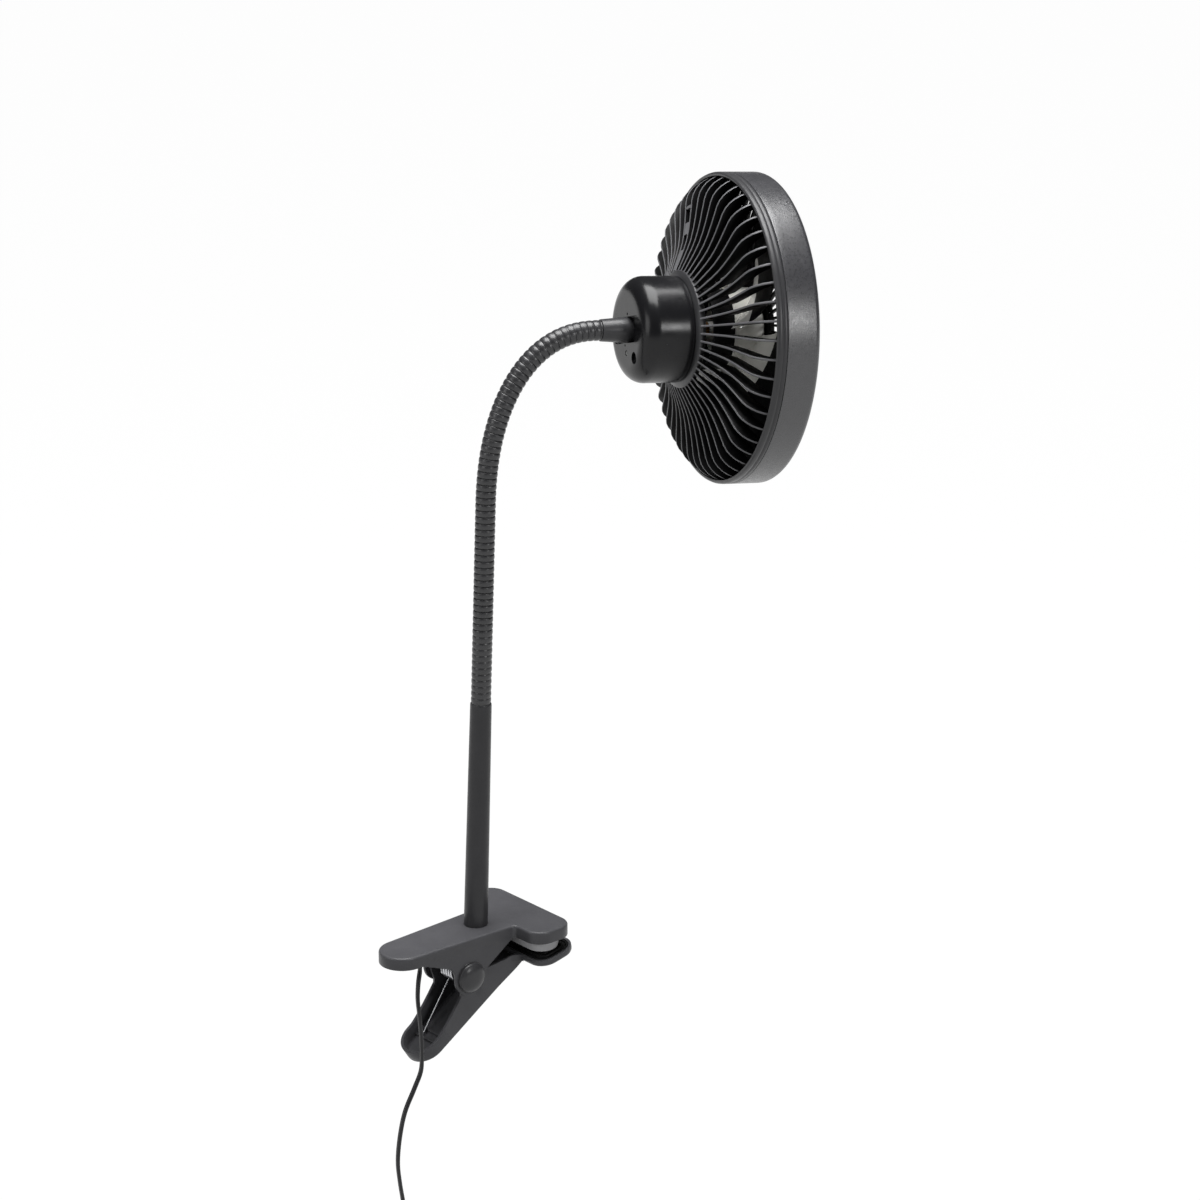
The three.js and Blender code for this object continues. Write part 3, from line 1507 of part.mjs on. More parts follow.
const head = fanHead();
head.position.copy(neckEnd).addScaledVector(neckEndAhead, ferruleLength);
const headBasis = new THREE.Matrix4().makeBasis(
  new THREE.Vector3(0, 1, 0),
  new THREE.Vector3(0, 1, 0).cross(neckEndAhead).negate(),
  neckEndAhead,
);
head.quaternion.setFromRotationMatrix(headBasis);
head.rotateZ(-radians(headRoll));
stand.add(head);

const inlineSwitch = group(
  switchShell("switch_shell_front", -1),
  switchShell("switch_shell_back", 1),
  switchBoard(),
  switchButton(),
);
inlineSwitch.position.set(switchTop.x, switchTop.y, switchTop.z - clearance - switchLength / 2);

const hankTop = hankPoints[0];
const hankEnd = hankPoints[hankPoints.length - 1];
const hank = group(cordHank(), cordTie());
hank.position.set(
  switchTop.x - hankTop.x,
  switchTop.y - hankTop.y,
  switchTop.z - 2 * clearance - switchLength - hankTop.z,
);
const plugGroup = plug();
plugGroup.position.set(hankEnd.x, hankEnd.y, hankEnd.z - clearance);
hank.add(plugGroup);

const gripX = (headRear + upperPadInset + gripFront) / 2;
const gripZ = -skirtHeight - upperPadDrop;

const assembly = group(clamp(), stand, inlineSwitch, cordFree(), hank);
assembly.position.set(-gripX, 0, -gripZ);

const fan = group(assembly);
fan.updateMatrixWorld(true);

// Where the pieces move, in the part's frame: a point on each axis, its direction and its range.
function neckJoint(i, axis) {
  const at = neckPlace(neckCut(i)).applyMatrix4(stand.matrixWorld);
  return { at, axis: axis.clone().transformDirection(stand.matrixWorld), range: [-bendLimit, bendLimit] };
}

const pitchAxis = new THREE.Vector3(0, 1, 0);
const swingAxis = (i) => {
  const ahead = neckPlace(neckCut(i) + 1).sub(neckPlace(neckCut(i) - 1)).normalize();
  return ahead.cross(pitchAxis).normalize();
};

fan.userData.joints = {
  jaw_pivot: {
    at: new THREE.Vector3(pivotX - gripX, 0, pivotZ - gripZ),
    axis: pitchAxis,
    range: [0, jawOpening],
  },
  neck_bend_1: neckJoint(1, pitchAxis),
  neck_swing_1: neckJoint(2, swingAxis(2)),
  neck_bend_2: neckJoint(3, pitchAxis),
  neck_swing_2: neckJoint(4, swingAxis(4)),
  neck_bend_3: neckJoint(5, pitchAxis),
  neck_bend_4: neckJoint(6, pitchAxis),
  fan_spin: {
    at: new THREE.Vector3().applyMatrix4(head.matrixWorld),
    axis: new THREE.Vector3(0, 0, 1).transformDirection(head.matrixWorld),
    range: null,
  },
  switch_press: { at: null, axis: new THREE.Vector3(0, 1, 0), range: [0, buttonTravel] },
};

export default fan;
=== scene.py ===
"""A clip fan on a gooseneck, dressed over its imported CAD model.

Shapes are written in millimetres in three frames: the clamp's, the stand's and the fan head's.
They become metres in the part's frame when a piece is made.
"""

from math import acos, atan2, cos, hypot, pi, radians, sin, tan

import bmesh
import bpy
from mathutils import Matrix, Vector


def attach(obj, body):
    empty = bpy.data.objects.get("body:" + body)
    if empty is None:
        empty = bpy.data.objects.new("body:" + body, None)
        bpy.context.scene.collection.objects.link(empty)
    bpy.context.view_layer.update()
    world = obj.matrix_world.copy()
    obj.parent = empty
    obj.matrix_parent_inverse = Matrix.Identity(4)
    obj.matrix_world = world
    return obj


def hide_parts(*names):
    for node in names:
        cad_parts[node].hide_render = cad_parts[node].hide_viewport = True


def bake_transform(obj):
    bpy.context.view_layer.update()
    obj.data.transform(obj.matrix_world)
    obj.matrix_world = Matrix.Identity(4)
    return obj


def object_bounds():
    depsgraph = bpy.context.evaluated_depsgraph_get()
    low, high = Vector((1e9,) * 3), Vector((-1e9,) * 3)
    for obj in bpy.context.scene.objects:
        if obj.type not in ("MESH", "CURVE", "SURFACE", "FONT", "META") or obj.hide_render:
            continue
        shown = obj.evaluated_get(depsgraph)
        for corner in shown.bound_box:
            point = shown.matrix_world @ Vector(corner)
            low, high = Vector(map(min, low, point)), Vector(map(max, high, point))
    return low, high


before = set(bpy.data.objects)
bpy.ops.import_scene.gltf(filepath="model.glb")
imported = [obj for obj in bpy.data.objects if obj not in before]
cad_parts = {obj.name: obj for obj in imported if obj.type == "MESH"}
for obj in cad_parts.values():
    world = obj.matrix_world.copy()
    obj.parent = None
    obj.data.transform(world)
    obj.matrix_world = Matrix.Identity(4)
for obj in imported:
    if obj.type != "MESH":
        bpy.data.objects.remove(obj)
cad_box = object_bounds()

# ---------------------------------------------------------------- frames

MM = 0.001
GRIP = Vector((25.75, 0, -13.5))  # the grip face's centre in the clamp's frame
PIVOT = Vector((-16.8, 0, -23.8))
TUBE_LENGTH = 136.7
STAND_YAW = -21
STAND_LEAN = 2
NECK_STRAIGHT = 117.3
NECK_REACH = 61.5
NECK_RISE = 97.1
NECK_POWER = 2.25
NECK_PAST_TOP = 3.1
FERRULE_LENGTH = 16
HEAD_ROLL = 16
LEVER_SLOPE = 32.4
TRAY_TILT = 11

clamp_frame = Matrix.Scale(MM, 4) @ Matrix.Translation(-GRIP)
stand_frame = (
    clamp_frame
    @ Matrix.Rotation(radians(STAND_YAW), 4, "Z")
    @ Matrix.Rotation(radians(STAND_LEAN), 4, "Y")
)


def neck_point(angle):
    """A point of the gooseneck's bend in the stand's frame, angle 0 where the bend begins."""
    c, s = abs(cos(angle)) / NECK_REACH, sin(angle) / NECK_RISE
    reach = (c**NECK_POWER + s**NECK_POWER) ** (-1 / NECK_POWER)
    return Vector((NECK_REACH - reach * cos(angle), 0, TUBE_LENGTH + NECK_STRAIGHT + reach * sin(angle)))


neck_end_rise = NECK_RISE * (1 - (NECK_PAST_TOP / NECK_REACH) ** NECK_POWER) ** (1 / NECK_POWER)
neck_turn = pi / 2 + atan2(NECK_PAST_TOP, neck_end_rise)
neck_end = neck_point(neck_turn)
neck_ahead = (neck_end - neck_point(neck_turn - 1e-4)).normalized()
head_up = -Vector((0, 1, 0)).cross(neck_ahead)
head_axes = Matrix(((0, 1, 0), head_up, neck_ahead)).transposed().to_4x4()
level_head_frame = stand_frame @ Matrix.Translation(neck_end + neck_ahead * FERRULE_LENGTH) @ head_axes
head_frame = level_head_frame @ Matrix.Rotation(-radians(HEAD_ROLL), 4, "Z")
lever_frame = (
    clamp_frame
    @ Matrix.Translation((20.7, 0, -28.8))
    @ Matrix.Rotation(-radians(LEVER_SLOPE), 4, "Y")
)
tray_frame = (
    clamp_frame
    @ Matrix.Translation((22, 0, -18.6))
    @ Matrix.Rotation(-radians(TRAY_TILT), 4, "Y")
    @ Matrix.Translation((-22, 0, 0))
)

# ---------------------------------------------------------------- camera, floor and light

FOCAL = 103
CAMERA_TURN = 41.4
CAMERA_TILT = 18.8
camera_data = bpy.data.cameras.new("camera")
camera_data.lens = FOCAL
camera_data.sensor_width = 36
camera_data.clip_start = 0.05
camera_data.clip_end = 60
camera = bpy.data.objects.new("camera", camera_data)
camera.location = clamp_frame @ Vector((-1157.64, -1422.49, 822.87))
camera.rotation_euler = (radians(90 - CAMERA_TILT), 0, radians(-CAMERA_TURN))
bpy.context.collection.objects.link(camera)
bpy.context.scene.camera = camera


WORLD_FILL = 0.18
FLOOR_HALF = 30
FLOOR_TONE = 0.22
FLOOR_GLOW = 1.15
FLOOR_GLOW_SHARE = 0.85
LAMPS = (
    ("overhead", (0.1, 0.1, 2.2), 1.6, 80),
    ("left", (-2.0, 0.3, 0.9), 1.0, 8),
    ("front", (0.13, -2.3, 1.0), 0.45, 11),
)


def larger(tree, first, second):
    """The larger of two values, as a node's output."""
    node = tree.nodes.new("ShaderNodeMath")
    node.operation = "MAXIMUM"
    tree.links.new(first, node.inputs[0])
    tree.links.new(second, node.inputs[1])
    return node.outputs[0]


def mix_shaders(tree, share, first, second, output):
    """Shows the second shader by a share and the first by the rest."""
    mix = tree.nodes.new("ShaderNodeMixShader")
    tree.links.new(share, mix.inputs["Fac"])
    tree.links.new(first.outputs[0], mix.inputs[1])
    tree.links.new(second.outputs[0], mix.inputs[2])
    tree.links.new(mix.outputs[0], tree.nodes[output].inputs["Surface"])


def floor_and_light(lowest):
    """A wide pale floor that renders white, a white world and three soft lamps."""
    floor_mesh = bpy.data.meshes.new("floor")
    s = FLOOR_HALF
    corners = [(x, y, lowest) for x, y in ((-s, -s), (s, -s), (s, s), (-s, s))]
    floor_mesh.from_pydata(corners, [], [(0, 1, 2, 3)])
    floor = bpy.data.objects.new("floor", floor_mesh)
    bpy.context.collection.objects.link(floor)
    paint = bpy.data.materials.new("floor_white")
    paint.use_nodes = True
    tree = paint.node_tree
    nodes = tree.nodes
    diffuse = nodes["Principled BSDF"]
    diffuse.inputs["Base Color"].default_value = (FLOOR_TONE, FLOOR_TONE, FLOOR_TONE, 1)
    diffuse.inputs["Roughness"].default_value = 0.9
    glow = nodes.new("ShaderNodeEmission")
    path = nodes.new("ShaderNodeLightPath")
    glow.inputs["Strength"].default_value = FLOOR_GLOW
    share = nodes.new("ShaderNodeMath")
    share.operation = "MULTIPLY"
    share.inputs[1].default_value = FLOOR_GLOW_SHARE
    shown = larger(tree, path.outputs["Is Camera Ray"], path.outputs["Is Glossy Ray"])
    tree.links.new(shown, share.inputs[0])
    mix_shaders(tree, share.outputs[0], diffuse, glow, "Material Output")
    floor_mesh.materials.append(paint)

    world = bpy.data.worlds.new("studio")
    bpy.context.scene.world = world
    world.use_nodes = True
    tree = world.node_tree
    nodes = tree.nodes
    seen = nodes["Background"]
    seen.inputs["Strength"].default_value = 1.0
    fill = nodes.new("ShaderNodeBackground")
    fill.inputs["Strength"].default_value = WORLD_FILL
    path = nodes.new("ShaderNodeLightPath")
    shown = larger(tree, path.outputs["Is Camera Ray"], path.outputs["Is Glossy Ray"])
    shown = larger(tree, shown, path.outputs["Is Transmission Ray"])
    mix_shaders(tree, shown, fill, seen, "World Output")

    for name, place, size, power in LAMPS:
        data = bpy.data.lights.new(name, "AREA")
        data.shape = "SQUARE"
        data.size = size
        data.energy = power
        lamp = bpy.data.objects.new(name, data)
        lamp.location = place
        lamp.rotation_euler = (Vector((0, 0, 0.1)) - Vector(place)).to_track_quat("-Z", "Y").to_euler()
        bpy.context.collection.objects.link(lamp)


# ---------------------------------------------------------------- materials


def node_of(tree, kind, **values):
    made = tree.nodes.new(kind)
    for key, value in values.items():
        if key in made.inputs:
            made.inputs[key].default_value = value
        else:
            setattr(made, key, value)
    return made


def surface(
    name,
    color,
    roughness,
    grain=0.0008,
    bump=0.04,
    mottle=0.12,
    mottle_size=0.02,
    scuff=0.08,
    metal=0.0,
    gloss=0.4,
    coat=0.0,
    stretch=(1, 1, 1),
):
    """A moulded or metal surface: a fine grain, a soft mottle in its tone and scuffs in its gloss.

    grain and mottle_size are lengths in metres, and stretch draws the grain out along an axis.
    """
    material = bpy.data.materials.new(name)
    material.use_nodes = True
    tree = material.node_tree
    shader = tree.nodes["Principled BSDF"]
    shader.inputs["Metallic"].default_value = metal
    shader.inputs["Specular IOR Level"].default_value = gloss
    shader.inputs["Coat Weight"].default_value = coat
    link = tree.links.new
    where = node_of(tree, "ShaderNodeTexCoord")
    scaled = node_of(tree, "ShaderNodeMapping", Scale=stretch)
    link(where.outputs["Object"], scaled.inputs["Vector"])

    fine = node_of(tree, "ShaderNodeTexNoise", Scale=1 / grain, Detail=4.0, Roughness=0.6)
    link(scaled.outputs["Vector"], fine.inputs["Vector"])
    raised = node_of(tree, "ShaderNodeBump", Strength=bump * 10, Distance=grain * 0.1)
    link(fine.outputs["Fac"], raised.inputs["Height"])
    link(raised.outputs["Normal"], shader.inputs["Normal"])

    broad = node_of(tree, "ShaderNodeTexNoise", Scale=1 / mottle_size, Detail=5.0, Roughness=0.65)
    link(where.outputs["Object"], broad.inputs["Vector"])
    speckled = node_of(tree, "ShaderNodeMix", data_type="FLOAT")
    speckled.inputs["Factor"].default_value = 0.35
    link(broad.outputs["Fac"], speckled.inputs["A"])
    link(fine.outputs["Fac"], speckled.inputs["B"])
    tone = node_of(tree, "ShaderNodeValToRGB")
    dark = [c * (1 - mottle) for c in color]
    light = [min(c * (1 + mottle), 1) for c in color]
    tone.color_ramp.elements[0].position = 0.3
    tone.color_ramp.elements[0].color = (*dark, 1)
    tone.color_ramp.elements[1].position = 0.7
    tone.color_ramp.elements[1].color = (*light, 1)
    link(speckled.outputs["Result"], tone.inputs["Fac"])
    link(tone.outputs["Color"], shader.inputs["Base Color"])

    worn = node_of(tree, "ShaderNodeTexNoise", Scale=2.7 / mottle_size, Detail=6.0, Roughness=0.7)
    link(scaled.outputs["Vector"], worn.inputs["Vector"])
    span = node_of(tree, "ShaderNodeMapRange")
    span.inputs["From Min"].default_value = 0.3
    span.inputs["From Max"].default_value = 0.7
    span.inputs["To Min"].default_value = max(roughness - scuff, 0.04)
    span.inputs["To Max"].default_value = min(roughness + scuff, 1)
    link(worn.outputs["Fac"], span.inputs["Value"])
    link(span.outputs["Result"], shader.inputs["Roughness"])
    return material


def linear(*srgb):
    """sRGB tones from 0 to 255, as the linear colour that Blender takes."""
    return tuple(c / 255 / 12.92 if c <= 10 else ((c / 255 + 0.055) / 1.055) ** 2.4 for c in srgb)


CHARCOAL = surface("charcoal_plastic", linear(80, 80, 83), 0.36, grain=0.0005, bump=0.03, gloss=0.3)
HOUSING = surface("housing_plastic", linear(24, 24, 26), 0.24, grain=0.0005, bump=0.01, gloss=0.3, scuff=0.04)
BAND = surface(
    "textured_band", linear(58, 58, 61), 0.3, grain=0.0007, bump=0.12, mottle=0.22, mottle_size=0.005, gloss=1.0
)
# Painted shade: a near black that stands in for shade on the grille ribs' broad sides, the front grille, the
# drum band's inner faces and the impeller's skirt and outer blades.
PAINTED_SHADE_BLACK = surface("painted_shade_black", linear(12, 12, 13), 0.5, grain=0.0005, bump=0.03, gloss=0.1)
# Painted light: a lit grey copy of the charcoal, on the ribs' narrow rear faces and on the bridges between
# ribs.
PAINTED_LIT_GREY = surface("painted_lit_grey", linear(104, 104, 107), 0.4, grain=0.0005, bump=0.03, gloss=0.4)
TUBE = surface("tube_plastic", linear(56, 56, 58), 0.36, grain=0.0005, bump=0.02, gloss=0.3)
SATIN = surface("satin_black_plastic", linear(58, 58, 60), 0.34, grain=0.0005, bump=0.02, gloss=0.4)
NECK = surface("gooseneck_black", linear(52, 52, 54), 0.34, grain=0.0004, bump=0.03, mottle=0.18, gloss=0.6)
RUBBER = surface("black_rubber", linear(24, 24, 25), 0.62, grain=0.0005, bump=0.04, gloss=0.3)
CORD = surface("cord_black", linear(30, 30, 32), 0.42, grain=0.0004, bump=0.03)
PAD = surface("pad_grey", linear(188, 188, 190), 0.5, grain=0.0006, bump=0.03, mottle=0.05)
STEEL = surface(
    "bright_steel", linear(196, 197, 200), 0.24, grain=0.0003, bump=0.02, mottle=0.06, metal=1.0, gloss=0.5,
)
BRONZE = surface("bearing_bronze", linear(160, 120, 76), 0.36, grain=0.0003, bump=0.03, metal=1.0, gloss=0.5)
BLADE = surface(
    "blade_plastic", linear(247, 246, 240), 0.16, grain=0.0015, bump=0.01, mottle=0.04, coat=0.4, gloss=0.5,
)
BOARD = surface("board_green", linear(28, 84, 50), 0.4, grain=0.0006, bump=0.02, mottle=0.15)
LENS = surface("lens_milk", linear(150, 152, 148), 0.3, grain=0.0005, bump=0.01, mottle=0.03, gloss=0.5)
COPPER = surface(
    "winding_copper", linear(176, 104, 52), 0.32, grain=0.0003, bump=0.06, metal=1.0, stretch=(1, 1, 8),
)
FERRITE = surface("magnet_black", linear(44, 44, 46), 0.6, grain=0.0006, bump=0.06)

# ---------------------------------------------------------------- shape helpers


class Form:
    """Points in millimetres and the faces between them, gathered before they become a piece."""

    def __init__(self):
        self.points = []
        self.faces = []

    def add(self, points, faces):
        first = len(self.points)
        self.points += [Vector(p) for p in points]
        self.faces += [[first + i for i in face] for face in faces]
        return self

    def rings(self, rings, round_ring=True, start=True, end=True, close=False):
        """Skin between rings of equal size. start and end put a flat face on the first and last."""
        n = len(rings[0])
        points = [p for ring in rings for p in ring]
        faces = []
        around = n if round_ring else n - 1
        count = len(rings) if close else len(rings) - 1
        for r in range(count):
            a, b = r * n, ((r + 1) % len(rings)) * n
            for i in range(around):
                j = (i + 1) % n
                faces.append([a + i, a + j, b + j, b + i])
        if not close:
            if start:
                faces.append(list(range(n))[::-1])
            if end:
                faces.append([(len(rings) - 1) * n + i for i in range(n)])
        return self.add(points, faces)

    def turned(self, profile, segments=96, close=True):
        """A profile of (radius, z) turned round Z. Points on the axis become one point."""
        profile = profile + [profile[0]] if close else profile
        points, rows = [], []
        for radius, z in profile[:-1] if close else profile:
            if radius < 1e-6:
                rows.append([len(points)] * segments)
                points.append((0, 0, z))
            else:
                rows.append(list(range(len(points), len(points) + segments)))
                for i in range(segments):
                    angle = 2 * pi * i / segments
                    points.append((radius * cos(angle), radius * sin(angle), z))
        if close:
            rows.append(rows[0])
        faces = []
        for lower, upper in zip(rows, rows[1:]):
            for i in range(segments):
                j = (i + 1) % segments
                face = []
                for k in (lower[i], lower[j], upper[j], upper[i]):
                    if k not in face:
                        face.append(k)
                if len(face) > 2:
                    faces.append(face)
        return self.add(points, faces)

    def prism(self, outline, low, high, side=False):
        """An outline from z = low to high, or with side=True an outline in X and Z from y = low to high."""
        if side:
            return self.rings([[(x, y, z) for x, z in outline] for y in (low, high)])
        return self.rings([[(x, y, z) for x, y in outline] for z in (low, high)])

    def placed(self, matrix):
        moved = Form()
        moved.points = [matrix @ p for p in self.points]
        moved.faces = [list(face) for face in self.faces]
        return moved

    def join(self, *others):
        for other in others:
            self.add(other.points, other.faces)
        return self


def arc(x, y, radius, start, end, steps):
    """Points from angle start to end in degrees, both ends included."""
    angles = [radians(start + (end - start) * i / steps) for i in range(steps + 1)]
    return [(x + radius * cos(a), y + radius * sin(a)) for a in angles]


def between(a, b, steps):
    """Points strictly between a and b."""
    return [
        tuple(p + (q - p) * i / steps for p, q in zip(a, b)) for i in range(1, steps)
    ]


def smooth_path(points, steps):
    """A centripetal Catmull-Rom curve through points, with the given steps from each to the next."""
    points = [Vector(p) for p in points]
    ends = [points[0] * 2 - points[1]] + points + [points[-1] * 2 - points[-2]]
    line = []
    for a, b, c, d in zip(ends, ends[1:], ends[2:], ends[3:]):
        t1 = (b - a).length ** 0.5
        t2 = t1 + (c - b).length ** 0.5
        t3 = t2 + (d - c).length ** 0.5
        for i in range(steps):
            t = t1 + (t2 - t1) * i / steps
            a1 = a * ((t1 - t) / t1) + b * (t / t1)
            a2 = b * ((t2 - t) / (t2 - t1)) + c * ((t - t1) / (t2 - t1))
            a3 = c * ((t3 - t) / (t3 - t2)) + d * ((t - t2) / (t3 - t2))
            b1 = a1 * ((t2 - t) / t2) + a2 * (t / t2)
            b2 = a2 * ((t3 - t) / (t3 - t1)) + a3 * ((t - t1) / (t3 - t1))
            line.append(b1 * ((t2 - t) / (t2 - t1)) + b2 * ((t - t1) / (t2 - t1)))
    return line + [points[-1]]


def swept(line, section, axis=Vector((0, 1, 0)), turn=None):
    """Rings of a section carried along a line, its second direction near the axis.

    turn gives the section's twist in degrees at each share of the way.
    """
    rings = []
    for i, point in enumerate(line):
        ahead = (line[min(i + 1, len(line) - 1)] - line[max(i - 1, 0)]).normalized()
        across = axis.cross(ahead).normalized()
        along = ahead.cross(across)
        twist = radians(turn(i / (len(line) - 1))) if turn else 0
        first = across * cos(twist) + along * sin(twist)
        second = along * cos(twist) - across * sin(twist)
        rings.append([point + first * u + second * v for u, v in section])
    return rings


def circle(radius, sides):
    return [(radius * cos(2 * pi * i / sides), radius * sin(2 * pi * i / sides)) for i in range(sides)]


def length_of(line):
    return sum((b - a).length for a, b in zip(line, line[1:]))


def mesh_of(name, form, place, merge=True):
    """The form as a mesh in the part's frame, its faces turned outwards."""
    mesh = bpy.data.meshes.new(name)
    mesh.from_pydata([place @ p for p in form.points], [], form.faces)
    work = bmesh.new()
    work.from_mesh(mesh)
    if merge:
        bmesh.ops.remove_doubles(work, verts=work.verts, dist=1e-7)
    bmesh.ops.recalc_face_normals(work, faces=work.faces)
    work.to_mesh(mesh)
    work.free()
    return mesh


def bevel_edges(made, radius, sharp):
    """Rounds the edges sharper than an angle in degrees, by a radius in millimetres."""
    bevel = made.modifiers.new("edge", "BEVEL")
    bevel.width = radius * MM
    bevel.segments = 2
    bevel.limit_method = "ANGLE"
    bevel.angle_limit = radians(sharp)
    bevel.harden_normals = True
    bevel.use_clamp_overlap = True


def piece(name, form, place, body, material, *replaced, slot=None, edge=0.0, sharp=38):
    """Makes the piece. edge is the radius in millimetres that a bevel gives its sharp edges."""
    mesh = mesh_of(name, form, place)
    mesh.polygons.foreach_set("use_smooth", [True] * len(mesh.polygons))
    made = bpy.data.objects.new(name, mesh)
    bpy.context.collection.objects.link(made)
    mesh.materials.append(material)
    if edge:
        bevel_edges(made, edge, sharp)
    else:
        mesh.set_sharp_from_angle(angle=radians(sharp))
    if body:
        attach(made, body)
    if replaced:
        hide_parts(*replaced)
    return made


# ---------------------------------------------------------------- clamp


HANDLE_SLOPE = 2.47  # degrees by which each side of the handle widens towards the head
HANDLE_HALF = 16.33  # half its width where x is 0


def clamp_outline(inset, fillet=2.5):
    """The upper jaw's outline: a handle with a round end, and a wide head, rounder at its far rear corner."""
    end, neck, half, corner = 14 - inset, 17 - inset, 37.5 - inset, 10.5 - inset
    rear, front, round_in = 15.5 + inset, 44 - inset, fillet + inset
    slope = HANDLE_SLOPE
    side = arc(-54, 0, end, 270 - slope, 270 - slope, 1)[0]
    far_corner = 15.5 - inset
    front_corner = arc(front - corner, half - corner, corner, 90, 0, 10)
    inner = arc(rear - round_in, neck + round_in, round_in, -90, 0, 6)

    def side_line(rear_radius):
        rear_corner = arc(rear + rear_radius, half - rear_radius, rear_radius, 180, 90, 10)
        line = [(side[0], -side[1]), *between((side[0], -side[1]), inner[0], 14), *inner]
        line += between(inner[-1], rear_corner[0], 3) + rear_corner
        return line + between(rear_corner[-1], front_corner[0], 3) + front_corner

    upper = side_line(far_corner)
    lower = [(x, -y) for x, y in reversed(side_line(corner))]
    middle = between(upper[-1], lower[0], 10)
    close = arc(-54, 0, end, 270 - slope, 90 + slope, 24)[1:-1]
    return upper + middle + lower + close


def plate(outline, profile):
    """A shell from an outline that takes an inset, through a list of (inset, z)."""
    return Form().rings([[(x, y, z) for x, y in outline(inset)] for inset, z in profile])


def upper_jaw():
    shell = [
        (2.7, -2.4), (2.3, -2.5), (2.05, -2.9), (2, -7.3), (1.85, -7.5), (0.35, -7.5), (0.1, -7.4), (0, -7.1),
    ]
    shell += [(0, -1.5), (0.07, -1.02), (0.28, -0.56), (0.6, -0.22), (1.0, -0.05), (1.5, 0), (2.3, 0)]
    body = plate(clamp_outline, shell)
    ribs = Form()
    for y in (-7.5, 7.5):
        ribs.prism([(-52, y - 0.6), (13, y - 0.6), (13, y + 0.6), (-52, y + 0.6)], -4.6, -2.2)
    piece(
        "clamp_upper_shell", body.join(ribs), clamp_frame, "clamp", CHARCOAL, "clamp_upper_jaw",
        slot="charcoal_plastic",
    )

    for name, sign in (("clamp_ear_near", -1), ("clamp_ear_far", 1)):
        turn = Matrix.Rotation(radians(sign * HANDLE_SLOPE), 4, "Z")
        outline = [(14.2, -1.8), (-50, -1.8), (-50, -7.45)]
        outline += curve3((-31.4, -14.8), (-28.5, -16.5), (-27.7, -21.6), 8)
        outline += arc(PIVOT.x, PIVOT.z, 11, 170, 370, 40)
        outline += [(14.2, -7.6)]
        low, high = (0, 2) if sign < 0 else (-2, 0)
        ear = Form().prism(outline, low, high, side=True)
        move = Matrix.Translation((0, sign * (HANDLE_HALF + 0.03), 0)) @ turn
        piece(
            name, ear, clamp_frame @ move, "clamp", CHARCOAL, "clamp_upper_jaw", slot="charcoal_plastic",
            edge=0.35,
        )


def curve3(a, b, c, steps):
    """Points on a quadratic curve from a to c, drawn towards b."""
    line = []
    for i in range(steps + 1):
        t = i / steps
        line.append(tuple((1 - t) ** 2 * p + 2 * t * (1 - t) * q + t * t * r for p, q, r in zip(a, b, c)))
    return line


def upper_pad():
    """The grey pad: its section in X and Z is carried across, and narrows at the rounded corners."""
    rear, front, half = 18.5, 41, 34.5
    bottom, top = -13.5, -2.7
    rings = []
    shares = [-1, -0.995, -0.98, -0.955, -0.92, -0.87, -0.8, -0.7, -0.55, -0.35, -0.12]
    for s in shares + [-v for v in reversed(shares)]:
        y = half * s
        gone = half - abs(y)
        front_cut = 13 - (13**2 - (13 - min(gone, 13)) ** 2) ** 0.5
        rear_cut = 8 - (8**2 - (8 - min(gone, 8)) ** 2) ** 0.5
        x0, x1 = rear + rear_cut, front - front_cut
        ring = [(x0, y, top), (x0, y, bottom + 0.9), (x0 + 0.3, y, bottom + 0.25), (x0 + 0.9, y, bottom)]
        for i in range(1, 11):
            x = x0 + 0.9 + (x1 - x0 - 1.3) * i / 10
            lift = max(x - 33, 0)
            ring.append((x, y, bottom + 0.062 * lift**1.95))
        nose = bottom + 0.062 * max(x1 - 33, 0) ** 1.95
        ring += [(x1, y, nose + 0.7), (x1, y, top)]
        rings.append(ring)
    piece(
        "upper_grip_pad", Form().rings(rings), clamp_frame, "clamp", PAD, "upper_jaw_pad", slot="pad_grey",
        edge=0.25,
    )


def pivot_caps():
    seat = HANDLE_HALF + tan(radians(HANDLE_SLOPE)) * PIVOT.x
    profile = [
        (0, 3.9), (2.4, 3.82), (4.4, 3.56), (6.2, 3.05), (7.7, 2.3), (8.6, 1.5), (9.0, 0.85), (9.05, 0.35),
    ]
    profile += [(8.7, 0.1), (9.5, 0.05), (9.6, -0.1), (9.4, -0.25), (0, -0.25)]
    for name, sign in (("near", -1), ("far", 1)):
        cap = Form().turned(profile, 72)
        turn = Matrix.Rotation(radians(sign * -90), 4, "X")
        tilt = Matrix.Rotation(radians(sign * HANDLE_SLOPE), 4, "Z")
        place = clamp_frame @ Matrix.Translation((PIVOT.x, sign * (seat + 0.35), PIVOT.z)) @ tilt @ turn
        piece(
            f"pivot_cover_{name}", cap, place, "clamp", SATIN, f"pivot_cap_{name}",
            slot="satin_black_plastic", sharp=50,
        )


LEVER_LENGTH = 82
lever_pivot = lever_frame.inverted() @ clamp_frame @ PIVOT


def lever_outline(inset):
    end = 13.2 - inset
    wide = 14 - inset
    centre = 13.2 - LEVER_LENGTH
    x1, x2, x3 = lever_pivot.x + 9, 0, 12 - inset
    upper = [(centre, end), *between((centre, end), (x1, end), 40)]
    for i in range(17):
        t = i / 16
        upper.append((x1 + (x2 - x1) * t, end + (wide - end) * t * t * (3 - 2 * t)))
    upper += between((x2, wide), (x3, wide), 8) + [(x3, wide)]
    lower = [(x, -y) for x, y in reversed(upper)]
    return upper + lower + arc(centre, 0, end, 270, 90, 28)[1:-1]


